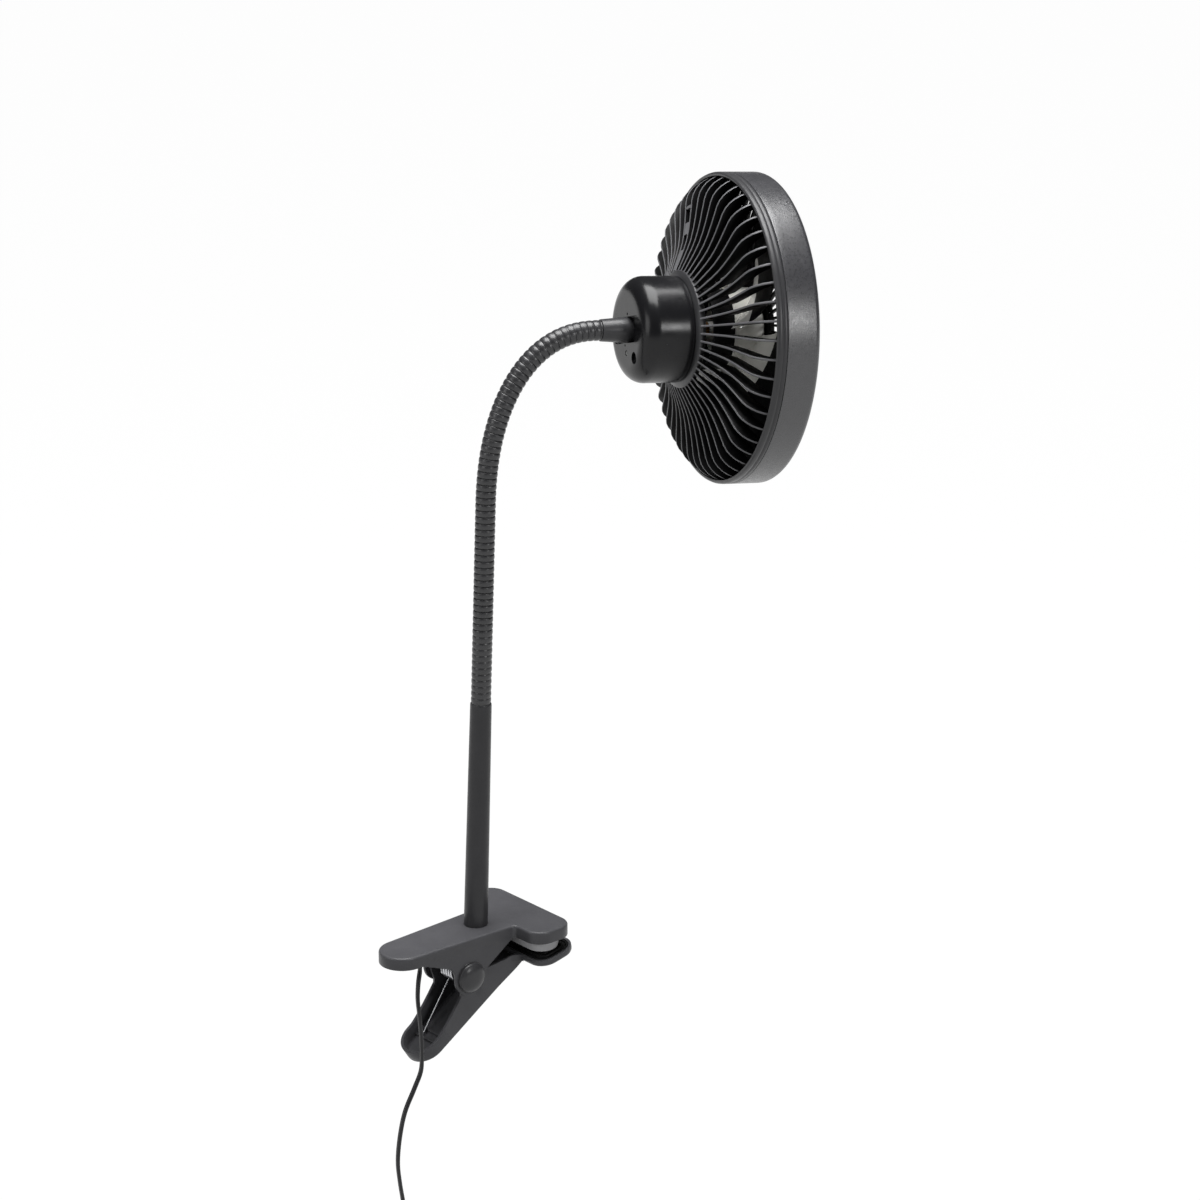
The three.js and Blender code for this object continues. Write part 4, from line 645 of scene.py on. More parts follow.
def lever_rim(x):
    """The height of the lever's rim over its floor."""
    px, pz, eye = lever_pivot.x, lever_pivot.z, 8
    knots = [(-90, 8.7), (-66, 8.7), (px - 10, pz - 6.5), (px - 7.6, pz + 2.4)]
    if x <= knots[2][0]:
        t = max((x + 66) / (knots[2][0] + 66), 0)
        return 8.7 + (knots[2][1] - 8.7) * t**1.25
    if x <= px - 7.6:
        t = (x - knots[2][0]) / (knots[3][0] - knots[2][0])
        return knots[2][1] + (knots[3][1] - knots[2][1]) * t * t * (3 - 2 * t)
    if x <= px + 7.5:
        return pz + max(eye**2 - (x - px) ** 2, 0) ** 0.5
    end_x, end_z = px + 12, pz - 6.4
    if x <= end_x:
        t = (x - px - 7.5) / 4.5
        start = pz + max(eye**2 - 7.5**2, 0) ** 0.5
        return start + (end_z - start) * t * (2 - t)
    t = (x - end_x) / (7 - end_x)
    return end_z + (6.1 - end_z) * min(t, 1.25)


def lower_jaw():
    wall = 1.8

    def over_floor(inset, height):
        return [(x, y, max(x - 1, 0) * 0.07 + height) for x, y in lever_outline(inset)]

    rings = [over_floor(inset, height) for inset, height in ((1.2, 0), (0.5, 0.15), (0.1, 0.6), (0, 1.2))]
    for inset, drop in ((0, 0.2), (0.15, 0), (wall - 0.15, 0), (wall, 0.2)):
        rings.append([(x, y, lever_rim(x) - drop) for x, y in lever_outline(inset)])
    rings += [over_floor(wall, wall + 0.6), over_floor(wall + 0.6, wall)]
    shell = Form().rings(rings)
    rib = Form()
    for x in (-66.8, -61.5):
        rib.prism([(x - 0.7, 1.2), (x + 0.7, 1.2), (x + 0.7, 2.9), (x - 0.7, 2.9)], -11.5, 11.5, side=True)
    piece(
        "clamp_lever", shell.join(rib), lever_frame, "jaw", CHARCOAL, "clamp_lower_jaw",
        slot="charcoal_plastic",
    )

    profile = [
        (6, -4.4), (1.9, -4.4), (1.1, -4.25), (0.5, -3.8), (0.12, -3.1), (0, -2.3), (0, -0.3), (0.1, -0.08),
    ]
    profile += [
        (0.3, 0), (1.5, 0), (1.7, -0.08), (1.8, -0.3), (1.8, -2.1), (2, -2.45), (2.5, -2.6), (6, -2.6),
    ]
    tray = plate(tray_outline, profile)
    for sign in (-1, 1):
        corner = (18.7, sign * 13.8)
        wedge = [corner] + [
            (18.7 - 6 + 6 * cos(a), sign * (13.8 + 6 - 6 * sin(a)))
            for a in [pi / 2 * i / 10 for i in range(11)]
        ]
        tray.prism(wedge, -4.2, -0.4)
    piece(
        "clamp_tray", tray, tray_frame, "jaw", CHARCOAL, "clamp_lower_jaw", slot="charcoal_plastic", sharp=50,
    )


def tray_outline(inset):
    rear, front, half = 18.5 + inset, 47 - inset, 37.5 - inset
    corner = max(10.5 - inset, 0.8)
    upper = arc(rear + corner, half - corner, corner, 180, 90, 12)
    upper += between(upper[-1], (front - corner, half), 3) + arc(
        front - corner, half - corner, corner, 90, 0, 12,
    )
    lower = [(x, -y) for x, y in reversed(upper)]
    return upper + between(upper[-1], lower[0], 12) + lower + between(lower[-1], upper[0], 12)


def lower_pad():
    floor, top = -2.3, -0.9
    pad = plate(tray_outline, [(8, floor), (2.1, floor), (2.1, top - 0.2), (2.3, top), (8, top)])
    for i in range(3):
        inset = 2.1 + i * 3.4
        crest = [
            (inset, top - 0.3), (inset + 0.08, top + 0.45), (inset + 0.35, top + 0.76),
            (inset + 0.65, top + 0.8),
        ]
        crest += [(inset + 0.95, top + 0.76), (inset + 1.22, top + 0.45), (inset + 1.3, top - 0.3)]
        pad.rings([[(x, y, z) for x, y in tray_outline(n)] for n, z in crest], close=True)
    piece("lower_grip_pad", pad, tray_frame, "jaw", RUBBER, "lower_jaw_pad", slot="black_rubber", sharp=50)


def spring():
    """The coil and its upper arm stay with the clamp. The last turn and the lower arm go with the jaw."""
    wire, radius, turns, pitch = 0.7, 5.6, 6, 1.95
    half = turns * pitch / 2
    upper = Vector((PIVOT.x - 24, -half, -3.45))
    lower = clamp_frame.inverted() @ lever_frame @ Vector((17.5 - LEVER_LENGTH, half, 1.8 + wire + 0.35))

    def tangent(tip, turn):
        dx, dz = tip.x - PIVOT.x, tip.z - PIVOT.z
        return atan2(dz, dx) + turn * acos(radius / hypot(dx, dz))

    start, end = tangent(upper, -1), tangent(lower, 1)
    sweep = start - end + 2 * pi * (turns - 1)

    def on_coil(share):
        angle = start - sweep * share
        return Vector((PIVOT.x + radius * cos(angle), 2 * half * share - half, PIVOT.z + radius * sin(angle)))

    steps = 32 * turns
    coil = [on_coil(i / steps) for i in range(steps + 1)]
    cut = round(steps * (1 - 0.5 / turns))
    back = round(steps * (1 - 0.75 / turns))
    bent = [upper + Vector((-0.4, 0, 0.2)), upper, *[upper.lerp(coil[0], i / 12) for i in range(1, 12)]]
    fixed = bent + coil[:cut]
    moving = coil[back:] + [coil[-1].lerp(lower, i / 12) for i in range(1, 13)]
    section = circle(wire, 14)
    for name, line, body in (("spring_coil", fixed, "clamp"), ("spring_lower_arm", moving, "jaw")):
        form = Form().rings(swept(line, section))
        piece(name, form, clamp_frame, body, STEEL, "torsion_spring", slot="bright_steel")


# ---------------------------------------------------------------- stand tube and gooseneck


def stand_tube():
    profile = [
        (6.2, -0.7), (6.9, -0.7), (7.05, 0.6), (7.02, 2), (6.19, TUBE_LENGTH - 1.2),
        (6.13, TUBE_LENGTH - 0.5),
    ]
    profile += [
        (5.9, TUBE_LENGTH - 0.08), (5.6, TUBE_LENGTH), (4.6, TUBE_LENGTH), (4.5, TUBE_LENGTH - 6),
        (3.4, TUBE_LENGTH - 7),
    ]
    profile += [(3.4, -9), (4.85, -9), (4.85, -0.7)]
    tube = Form().turned(profile, 96)
    piece("stand_tube_skin", tube, stand_frame, "clamp", TUBE, "stand_tube", slot="charcoal_plastic")


neck_line = [Vector((0, 0, TUBE_LENGTH + NECK_STRAIGHT * i / 200)) for i in range(200)]
neck_line += [neck_point(neck_turn * i / 400) for i in range(401)]
neck_far = [0.0]
for first, second in zip(neck_line, neck_line[1:]):
    neck_far.append(neck_far[-1] + (second - first).length)
NECK_LENGTH = neck_far[-1]
RIBS = round((NECK_LENGTH - 0.6) / 3.7)
RIB_STEP = (NECK_LENGTH - 0.6) / RIBS


def on_neck(distance):
    """The point and direction of the gooseneck's middle line at a distance from the tube."""
    d = min(max(distance, 0), NECK_LENGTH - 1e-6)
    low, high = 0, len(neck_far) - 1
    while high - low > 1:
        middle = (low + high) // 2
        low, high = (middle, high) if neck_far[middle] <= d else (low, middle)
    share = (d - neck_far[low]) / (neck_far[high] - neck_far[low])
    ahead = (neck_line[high] - neck_line[low]).normalized()
    return neck_line[low].lerp(neck_line[high], share), ahead


def neck_cut(i):
    """The distance to the rib nearest to i sevenths of the way."""
    return 0.3 + round(i * RIBS / 7) * RIB_STEP


def gooseneck():
    """Six lengths of ribbed hose. Each one spans a joint; none is attached to a body."""
    waves = 10
    crest, valley = 5.8, 5.2
    sides = 32

    for k in range(6):
        low = 0.05 if k == 0 else neck_cut(k + 0.5)
        high = NECK_LENGTH if k == 5 else neck_cut(k + 1.5)
        count = round((high - low) / RIB_STEP * waves)
        rings = []
        for i in range(count + 1):
            d = low + (high - low) * i / count
            phase = ((d - 0.3) / RIB_STEP) % 1
            radius = valley + (crest - valley) * max(sin(pi * phase), 0) ** 0.4
            point, ahead = on_neck(d)
            across = Vector((0, 1, 0)).cross(ahead).normalized()
            ring = [point + across * u + Vector((0, 1, 0)) * v for u, v in circle(radius, sides)]
            rings.append(ring)
        hose = piece(
            f"gooseneck_{k + 1}", Form().rings(rings, start=k == 0, end=k == 5), stand_frame, None, NECK,
            f"neck_segment_{k + 1}", f"neck_segment_{k + 2}", slot="black_rubber", sharp=70,
        )
        point, ahead = on_neck(neck_cut(k + 1))
        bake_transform(hose)


def ferrule():
    end = 4.5
    profile = [(2.6, 0.3 - FERRULE_LENGTH), (5.8, 0.3 - FERRULE_LENGTH), (6.15, 0.5 - FERRULE_LENGTH)]
    profile += [(6.25, 1 - FERRULE_LENGTH), (7.2, -1.5), (7.25, -0.8), (7.25, end - 0.9), (7, end - 0.5)]
    profile += [(6.15, end - 0.5), (6.15, 8), (2.6, 8)]
    piece(
        "neck_ferrule_skin", Form().turned(profile, 72), head_frame, "head", SATIN, "neck_ferrule",
        slot="satin_black_plastic",
    )


# ---------------------------------------------------------------- fan head


def cutter(form, place, name):
    made = bpy.data.objects.new(name, mesh_of(name, form, place, merge=False))
    bpy.context.collection.objects.link(made)
    return made


def cut_away(target, tools):
    """Takes the tools' shapes out of a piece for good, and removes the tools."""
    for tool in tools:
        cut = target.modifiers.new("cut", "BOOLEAN")
        cut.operation = "DIFFERENCE"
        cut.solver = "EXACT"
        cut.object = tool
    bpy.context.view_layer.update()
    shape = target.evaluated_get(bpy.context.evaluated_depsgraph_get())
    mesh = bpy.data.meshes.new_from_object(shape)
    target.modifiers.clear()
    target.data = mesh
    for tool in tools:
        bpy.data.objects.remove(tool)


def stadium(half_length, half_height, steps=16):
    straight = half_length - half_height
    right = arc(straight, 0, half_height, -90, 90, steps)
    left = arc(-straight, 0, half_height, 90, 270, steps)
    return right + left


HOUSING_RADIUS = 30
HOUSING_EDGE = 10
SCREW_HOLE = (-10.3, -16.1)
LENS_PLACE = (0.7, -12.9)


def rear_housing():
    outer = [(0, 0), (8, 0), (14, 0), (19, 0)]
    flat = HOUSING_RADIUS - HOUSING_EDGE
    edge = [pi / 2 * (i + 0.6) / 16 for i in range(16)]
    outer += [(flat + HOUSING_EDGE * sin(a), HOUSING_EDGE - HOUSING_EDGE * cos(a)) for a in edge]
    outer += [(HOUSING_RADIUS, z) for z in (10.4, 14, 20, 26, 29.3)]
    outer += [(HOUSING_RADIUS - 0.25, 29.7), (28, 29.7), (28, 12), (24.5, 5), (19, 2), (0, 2)]
    shell = piece("rear_housing_shell", Form().turned(outer, 128), head_frame, None, HOUSING, sharp=40)
    tools = [cutter(Form().prism(stadium(22, 7.4), -3, 1.9999), head_frame, "cut_slot")]
    for name, place, centre, radius, sides, depth in (
        ("cut_screw_hole", head_frame, SCREW_HOLE, 3.4, 40, 3),
        ("cut_lens_hole", head_frame, LENS_PLACE, 1.6, 24, 3),
        ("cut_notch_upper", level_head_frame, (0, 9.2), 0.8, 16, 1.2),
        ("cut_notch_lower", level_head_frame, (0, -8.8), 0.7, 16, 1.2),
    ):
        hole = Form().prism(circle(radius, sides), -3, depth)
        tools.append(cutter(hole, place @ Matrix.Translation((*centre, 0)), name))
    cut_away(shell, tools)
    shell.data.polygons.foreach_set("use_smooth", [True] * len(shell.data.polygons))
    bevel_edges(shell, 0.3, 40)
    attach(shell, "head")
    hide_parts("rear_housing")

    pocket = Form()
    rings = []
    for shrink, z in ((0.001, 1.2), (0.001, 3.7), (0.4, 4)):
        rings.append([(x, y, z) for x, y in stadium(22 - shrink, 7.4 - shrink)])
    pocket.rings(rings, start=False, end=False)
    pocket.prism(stadium(21.6, 7.0), 4, 5.8)
    well = [(3.4, 1.2), (3.4, 6.8), (3.2, 7), (1.7, 7), (1.7, 9), (4.8, 9), (4.8, 1.2)]
    pocket.join(Form().turned(well, 40).placed(Matrix.Translation((*SCREW_HOLE, 0))))
    piece(
        "rear_housing_pocket", pocket, head_frame, "head", SATIN, "rear_housing", slot="charcoal_plastic",
        sharp=50,
    )


def screw_head(name, node, x, y, seat, radius, shank, direction=1):
    """A pan head with a cross recess, on its shank."""
    head = Form()
    profile = [
        (0, -1.15), (radius * 0.28, -1.75), (radius * 0.6, -1.7), (radius * 0.85, -1.35), (radius, -0.75),
    ]
    profile += [(radius, -0.15), (1.3, -0.15), (1.3, shank - 1), (0, shank)]
    head.turned(profile, 40)
    turn = Matrix.Rotation(pi, 4, "X") if direction < 0 else Matrix.Identity(4)
    place = head_frame @ Matrix.Translation((x, y, seat)) @ turn
    made = piece(name, head, place, None, STEEL)
    arm = radius * 0.55
    cross = Form().prism([(-arm, -0.32), (arm, -0.32), (arm, 0.32), (-arm, 0.32)], -3, -0.9)
    other = Form().prism([(-0.32, -arm), (0.32, -arm), (0.32, arm), (-0.32, arm)], -3, -0.9)
    cut_away(made, [cutter(cross, place, "cut_a"), cutter(other, place, "cut_b")])
    made.data.polygons.foreach_set("use_smooth", [True] * len(made.data.polygons))
    made.data.set_sharp_from_angle(angle=radians(35))
    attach(made, "head")
    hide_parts(node)


def rib_side():
    """A rib seen from its side, as radius and height."""
    rear = [
        (32.4, 31.2), (36.5, 33.2), (40, 34.9), (45, 37.2), (50, 39.2), (56, 40.8), (62, 42), (68, 43),
        (73, 43.8),
    ]
    rear += [(76.5, 44.9), (79.5, 46.8), (82, 49.2), (84, 52.2), (85.4, 55.2), (86.6, 58)]
    front = [
        (86.6, 59.6), (83, 57.4), (79.5, 55.2), (77, 53.7), (75, 52.7), (70, 51.6), (62, 49.9), (56, 48.6),
        (50, 47.1),
    ]
    front += [(45, 43), (40, 38.9), (36.5, 35.9), (32.4, 32.4)]
    return rear + front


def rib_face_painted_lit(point, normal, pitch):
    """Whether a rib's face is one of its narrow ones, on the side away from the blades: the faces that get
    painted light.
    """
    angle = round(atan2(point.y, point.x) / pitch) * pitch
    side = abs(normal.x * -sin(angle) + normal.y * cos(angle))
    return side < 0.8 and normal.z < 0.35


def tone_faces(made, material, chosen):
    """Gives a second material to the faces that chosen picks by their place and normal in the head's frame;
    this is how painted light and painted shade are laid on parts of a piece.
    """
    made.data.materials.append(material)
    back = (made.matrix_world.inverted() @ head_frame).inverted()
    turn = back.to_3x3().normalized()
    for face in made.data.polygons:
        if chosen(back @ face.center, turn @ face.normal):
            face.material_index = 1


def rear_grille():
    grille = Form()
    ribs = 50
    thick = 0.6
    side = rib_side()
    middle = 15
    for i in range(ribs):
        turn = Matrix.Rotation(2 * pi * i / ribs, 4, "Z")
        layers = []
        for offset, inset in ((-thick, 0.22), (-thick + 0.22, 0), (thick - 0.22, 0), (thick, 0.22)):
            ring = []
            for j, (r, z) in enumerate(side):
                towards = 1 if j < middle else -1
                ring.append((r, offset, z + towards * inset))
            layers.append(ring)
        grille.join(Form().rings(layers).placed(turn))
    # The ribs' broad sides carry painted shade near black, and their narrow rear faces a painted lit grey.
    made = piece(
        "rear_grille_ribs", grille, head_frame, "head", PAINTED_SHADE_BLACK, "rear_grille", slot="charcoal_plastic", sharp=50,
    )
    tone_faces(made, PAINTED_LIT_GREY, lambda p, n: rib_face_painted_lit(p, n, 2 * pi / ribs))

    hub = [
        (5.3, 30), (26, 30), (26, 27), (27.7, 27), (27.7, 30), (29.6, 30.02), (32.7, 31.3), (33, 31.5),
        (33.1, 31.8),
    ]
    hub += [(33.1, 34.4), (32.8, 34.7), (31.9, 34.7), (31.6, 34.4), (31.5, 32.5), (5.3, 32.5)]
    ring = [
        (85.7, 54.2), (86.6, 53.9), (87.4, 54.3), (87.8, 55.2), (87.9, 56.2), (87.9, 57.1), (87.6, 57.4),
        (87.6, 57.8),
    ]
    ring += [(87.9, 58.1), (87.9, 59.7), (87.7, 60), (85.7, 60)]
    rim = Form().turned(hub, 128).join(Form().turned(ring, 160))
    piece(
        "rear_grille_rings", rim, head_frame, "head", SATIN, "rear_grille", slot="charcoal_plastic", sharp=50,
    )


def drum_band():
    front = 80
    profile = [
        (85.7, 60.3), (87.6, 60.3), (87.85, 60.5), (87.9, 60.9), (87.9, 64), (87.9, 70), (87.9, front - 3.4),
    ]
    profile += [
        (84.5 + 3.4 * cos(a), front - 3.4 + 3.4 * sin(a))
        for a in [pi / 2 * i / 10 for i in range(1, 11)]
    ]
    profile += [(84.25, front - 0.2), (84.2, front - 1), (85.7, front - 1)]
    made = piece(
        "rim_band", Form().turned(profile, 192), head_frame, "head", BAND, "drum_band",
        slot="charcoal_plastic",
    )
    # The band's inward faces get the near black as painted shade inside the drum.
    tone_faces(made, PAINTED_SHADE_BLACK, lambda p, n: n.x * p.x + n.y * p.y < -0.5 * hypot(p.x, p.y))


def front_grille():
    front, rear, outer = 78.7, 75.5, 85.4
    ribs = 48
    grille = Form()
    steps = 14
    line = []
    for i in range(steps + 1):
        t = i / steps
        radius = 26.2 + (outer - 1.2 - 26.2) * t
        angle = 4 * 2 * pi / ribs * t * t
        line.append(Vector((radius * cos(angle), radius * sin(angle), 0)))
    section = [(-0.7, rear + 0.7), (-0.45, rear + 0.2), (0.45, rear + 0.2), (0.7, rear + 0.7)]
    section += [(0.7, front - 0.7), (0.4, front - 0.15), (-0.4, front - 0.15), (-0.7, front - 0.7)]
    rings = []
    for i, point in enumerate(line):
        ahead = (line[min(i + 1, steps)] - line[max(i - 1, 0)]).normalized()
        across = Vector((-ahead.y, ahead.x, 0))
        rings.append([point + across * u + Vector((0, 0, w)) for u, w in section])
    rib = Form().rings(rings)
    for i in range(ribs):
        grille.join(rib.placed(Matrix.Rotation(2 * pi * i / ribs, 4, "Z")))
    for inner, outside in ((outer - 5.6, outer), (20.5, 27), (53.4, 55)):
        profile = [(inner, rear + 0.3), (inner + 0.3, rear), (outside - 0.3, rear), (outside, rear + 0.3)]
        profile += [
            (outside, front - 0.3), (outside - 0.3, front), (inner + 0.3, front), (inner, front - 0.3),
        ]
        grille.join(Form().turned(profile, 128))
    # The front grille is painted near black, as shade inside the drum.
    piece(
        "front_grille_guard", grille, head_frame, "head", PAINTED_SHADE_BLACK, "front_grille", slot="charcoal_plastic",
        sharp=50,
    )

    seat = 79
    cap = [
        (0, seat - 2.5), (20.2, seat - 2.5), (20.2, seat), (23.2, seat), (23.6, seat + 0.2),
        (23.5, seat + 0.6),
    ]
    cap += [(22.9, seat + 1.05), (20, seat + 1.3), (14, seat + 1.6), (7, seat + 1.75), (0, seat + 1.8)]
    piece(
        "front_cap_disc", Form().turned(cap, 96), head_frame, "head", SATIN, "front_cap",
        slot="satin_black_plastic",
    )


def impeller():
    """A pale glossy impeller whose hub shows between the grille's ribs; its skirt and the blades' outer parts
    are painted near black as shade, and only the blades' inner parts keep the pale colour.
    """
    hub_r, tip_r, front, rear, seam = 23, 80, 75, 44, 56.6
    skirt = [(21, rear), (22.8, rear), (23, rear + 0.3), (23, seam - 0.3), (22.8, seam), (21, seam)]
    # The skirt is painted near black as shade.
    piece(
        "impeller_skirt", Form().turned(skirt, 96), head_frame, "rotor", PAINTED_SHADE_BLACK, "impeller",
        slot="blade_plastic",
    )
    hub = [(1.55, 49), (4, 49), (4, front - 2), (21, front - 4), (21, seam), (22.6, seam), (22.9, seam + 0.2)]
    hub += [(23, seam + 0.6), (23, seam + 1.3), (22.75, seam + 1.5), (22.75, seam + 1.8), (23, seam + 2)]
    hub += [(23, front - 2.2), (22.9, front - 1.7), (21.7, front - 0.3), (21, front), (1.55, front)]
    piece(
        "impeller_hub", Form().turned(hub, 128), head_frame, "rotor", BLADE, "impeller", slot="blade_plastic",
        sharp=30,
    )
    fan = Form()
    across, outward, thick = 14, 12, 0.75
    for b in range(5):
        turn = Matrix.Rotation(radians(8) + 2 * pi * b / 5, 4, "Z")
        faces = {}
        for face in (-1, 1):
            grid = []
            for i in range(outward + 1):
                t = i / outward
                radius = hub_r - 0.6 + (tip_r - hub_r + 0.6) * t
                span = radians(63 + 5 * t)
                depth = 19 - 4 * t
                row = []
                for j in range(across + 1):
                    c = 2 * j / across - 1
                    rounding = 1 - 0.14 * t**8 * abs(c) ** 3
                    angle = -c * span * rounding / 2 - radians(14) * t
                    edge = 1 - 0.75 * abs(c) ** 6
                    z = 63.5 + c * depth / 2 + 1.8 * (1 - c * c) + face * thick * edge
                    row.append(turn @ Vector((radius * cos(angle), radius * sin(angle), z)))
                grid.append(row)
            faces[face] = grid
        loop = []
        for i in range(outward + 1):
            loop.append(faces[-1][i] + list(reversed(faces[1][i])))
        fan.join(Form().rings(loop))
    made = piece("impeller_blades", fan, head_frame, "rotor", PAINTED_SHADE_BLACK, "impeller", slot="blade_plastic", sharp=45)
    # Blades are painted near black as shade beyond a radius of 46; inside it they keep the pale colour.
    tone_faces(made, BLADE, lambda p, n: hypot(p.x, p.y) < 46)


def bridging_blocks():
    """A flat strip between two neighbouring ribs on the upper side, broken by two windows."""
    blocks = Form()
    middle, half = radians(82.8), radians(3.1)
    side = rib_side()[:15]

    def rise(radius):
        for (r0, z0), (r1, z1) in zip(side, side[1:]):
            if radius <= r1:
                return z0 + (z1 - z0) * (radius - r0) / (r1 - r0)

    for r0, r1 in ((33.4, 45), (53.8, 60.8), (68.8, 70.6)):
        outline = [(r0, rise(r0) + 0.3), (r1, rise(r1) + 0.3), (r1, rise(r1) + 2.2), (r0, rise(r0) + 2.2)]
        rings = []
        for angle in (middle - half, middle, middle + half):
            rings.append([(r * cos(angle), r * sin(angle), z) for r, z in outline])
        blocks.join(Form().rings(rings))
    # The bridges take the painted light grey of the ribs' rear faces.
    piece(
        "grille_bridges", blocks, head_frame, "head", PAINTED_LIT_GREY, "rear_grille", slot="charcoal_plastic",
        edge=0.2,
    )


def indicator():
    profile = [(0, 0.05), (0.8, 0.1), (1.25, 0.3), (1.4, 0.7), (1.4, 9.3), (0, 9.3)]
    lens = Form().turned(profile, 32).placed(Matrix.Translation((*LENS_PLACE, 0)))
    piece("indicator_window", lens, head_frame, "head", LENS, "indicator_lens", slot="lens_milk")


# ---------------------------------------------------------------- cord, switch and plug

CORD_POINTS = [
    (-48.9, -9, -9.6),
    (-49.2, -9.2, -12),
    (-52.4, -11.6, -18),
    (-54.9, -14, -26),
    (-55.9, -16.4, -35),
    (-55.4, -17.2, -48),
    (-55.2, -17.2, -62),
    (-56, -17, -70.5),
    (-60.6, -16.4, -80.5),
    (-66.6, -15.4, -93),
    (-69.6, -14.2, -107),
    (-71, -13.1, -125),
    (-69.2, -12.3, -139.5),
    (-67.2, -12, -151),
    (-65.8, -12, -160),
    (-65.5, -12, -167),
    (-65.5, -12, -173),
]
CORD_WIDTH = 4.4
CORD_THICK = 2.2
switch_top = Vector(CORD_POINTS[-1])
SWITCH_LENGTH = 40
switch_frame = clamp_frame @ Matrix.Translation(switch_top - Vector((0, 0, 0.3 + SWITCH_LENGTH / 2)))


def flat_section():
    """Two round cores side by side, with a shallow groove between them."""
    core = CORD_THICK / 2
    shift = CORD_WIDTH / 2 - core
    right = arc(0, shift, core, -75, 255, 14)
    left = arc(0, -shift, core, 105, 435, 14)
    return [*right, *left]


HANK_LOOPS = 5
HANK_SPACING = 3.2
HANK_LAYER = 5.4
HANK_RUN = 66
HANK_FOLD = 13.5
HANK_DIP = 7


def hank_point(k, grow, y):
    """A point on a hank loop, k of 24 steps round: right run, lower fold, left run, upper fold."""
    run, fold, dip = HANK_RUN, HANK_FOLD + grow, HANK_DIP
    half = run / 2
    step = k % 24
    if step <= 4:
        z = half - run * step / 4
        return Vector((fold - dip * cos(pi * z / run) ** 2, y, z))
    if step <= 12:
        a = -pi * (step - 4) / 8
        return Vector((fold * cos(a), y, fold * sin(a) - half))
    if step <= 16:
        z = run * (step - 12) / 4 - half
        return Vector((dip * cos(pi * z / run) ** 2 - fold, y, z))
    a = pi - pi * (step - 16) / 8
    return Vector((fold * cos(a), y, half + fold * sin(a)))


def hank_line(steps):
    total = HANK_LOOPS * 24 + 3
    middle = total / 2
    outside = HANK_FOLD + HANK_SPACING * middle / 24
    half = HANK_RUN / 2
    near = -HANK_LAYER / 2
    points = [
        Vector((0, near, half + outside + 10)),
        Vector((0.2, near, half + outside + 5)),
        Vector((outside * 0.3, near, half + outside - 1)),
        Vector((outside * 0.72, near, half + outside * 0.74)),
        Vector((outside * 0.96, near, half + outside * 0.34)),
    ]
    for k in range(total + 1):
        share = min(max((k - middle + 6) / 12, 0), 1)
        climb = share * share * (3 - 2 * share)
        points.append(hank_point(k, abs(k - middle) * HANK_SPACING / 24, HANK_LAYER * (climb - 0.5)))
    end = points[-1]
    for dx, dz in ((1.2, 8), (5.5, 19), (9.5, 29), (10.6, 38), (10.6, 43)):
        points.append(end + Vector((dx, 0, -dz)))
    return smooth_path(points, steps)


hank_path = hank_line(4)
hank_shift = switch_top - Vector((0, 0, 0.6 + SWITCH_LENGTH)) - hank_path[0]
hank_frame = clamp_frame @ Matrix.Translation(hank_shift)
plug_frame = hank_frame @ Matrix.Translation(hank_path[-1] - Vector((0, 0, 0.3)))


def cords():
    grommet = Form()
    low, top = -9.3, -2.7
    base = []
    for grow, z in ((0, top), (0, low + 1.4), (0.3, low + 0.5), (1.1, low), (3.2, low)):
        ring = rounded_box(5.5 - grow, 4.5 - grow, max(1.5 - grow * 0.3, 0.3), 5)
        base.append([(x - 48.9, y - 6.8, z) for x, y in ring])
    grommet.rings(base)
    piece("cord_outlet", grommet, clamp_frame, "clamp", RUBBER, "cord_grommet", slot="black_rubber")

    line = smooth_path(CORD_POINTS, 10)
    free = Form().rings(swept(line, flat_section(), turn=lambda s: 30 - 30 * s**8))
    made = piece("cord_lead", free, clamp_frame, "clamp", CORD, "cord_free", slot="black_rubber", sharp=60)
    switches = switch()
    hank = Form().rings(swept(hank_path, flat_section()))
    coil = piece("cord_bundle", hank, hank_frame, "clamp", CORD, "cord_hank", slot="black_rubber", sharp=60)
    tie()
    plug()
    print(
        "cord, millimetres:", round(length_of(line)), "to the switch,", round(length_of(hank_path)),
        "after it",
    )


def rounded_box(half_x, half_y, radius, steps=6):
    ring = []
    for sx, sy, start in ((1, 1, 0), (-1, 1, 90), (-1, -1, 180), (1, -1, 270)):
        ring += arc(sx * (half_x - radius), sy * (half_y - radius), radius, start, start + 90, steps)
    return ring


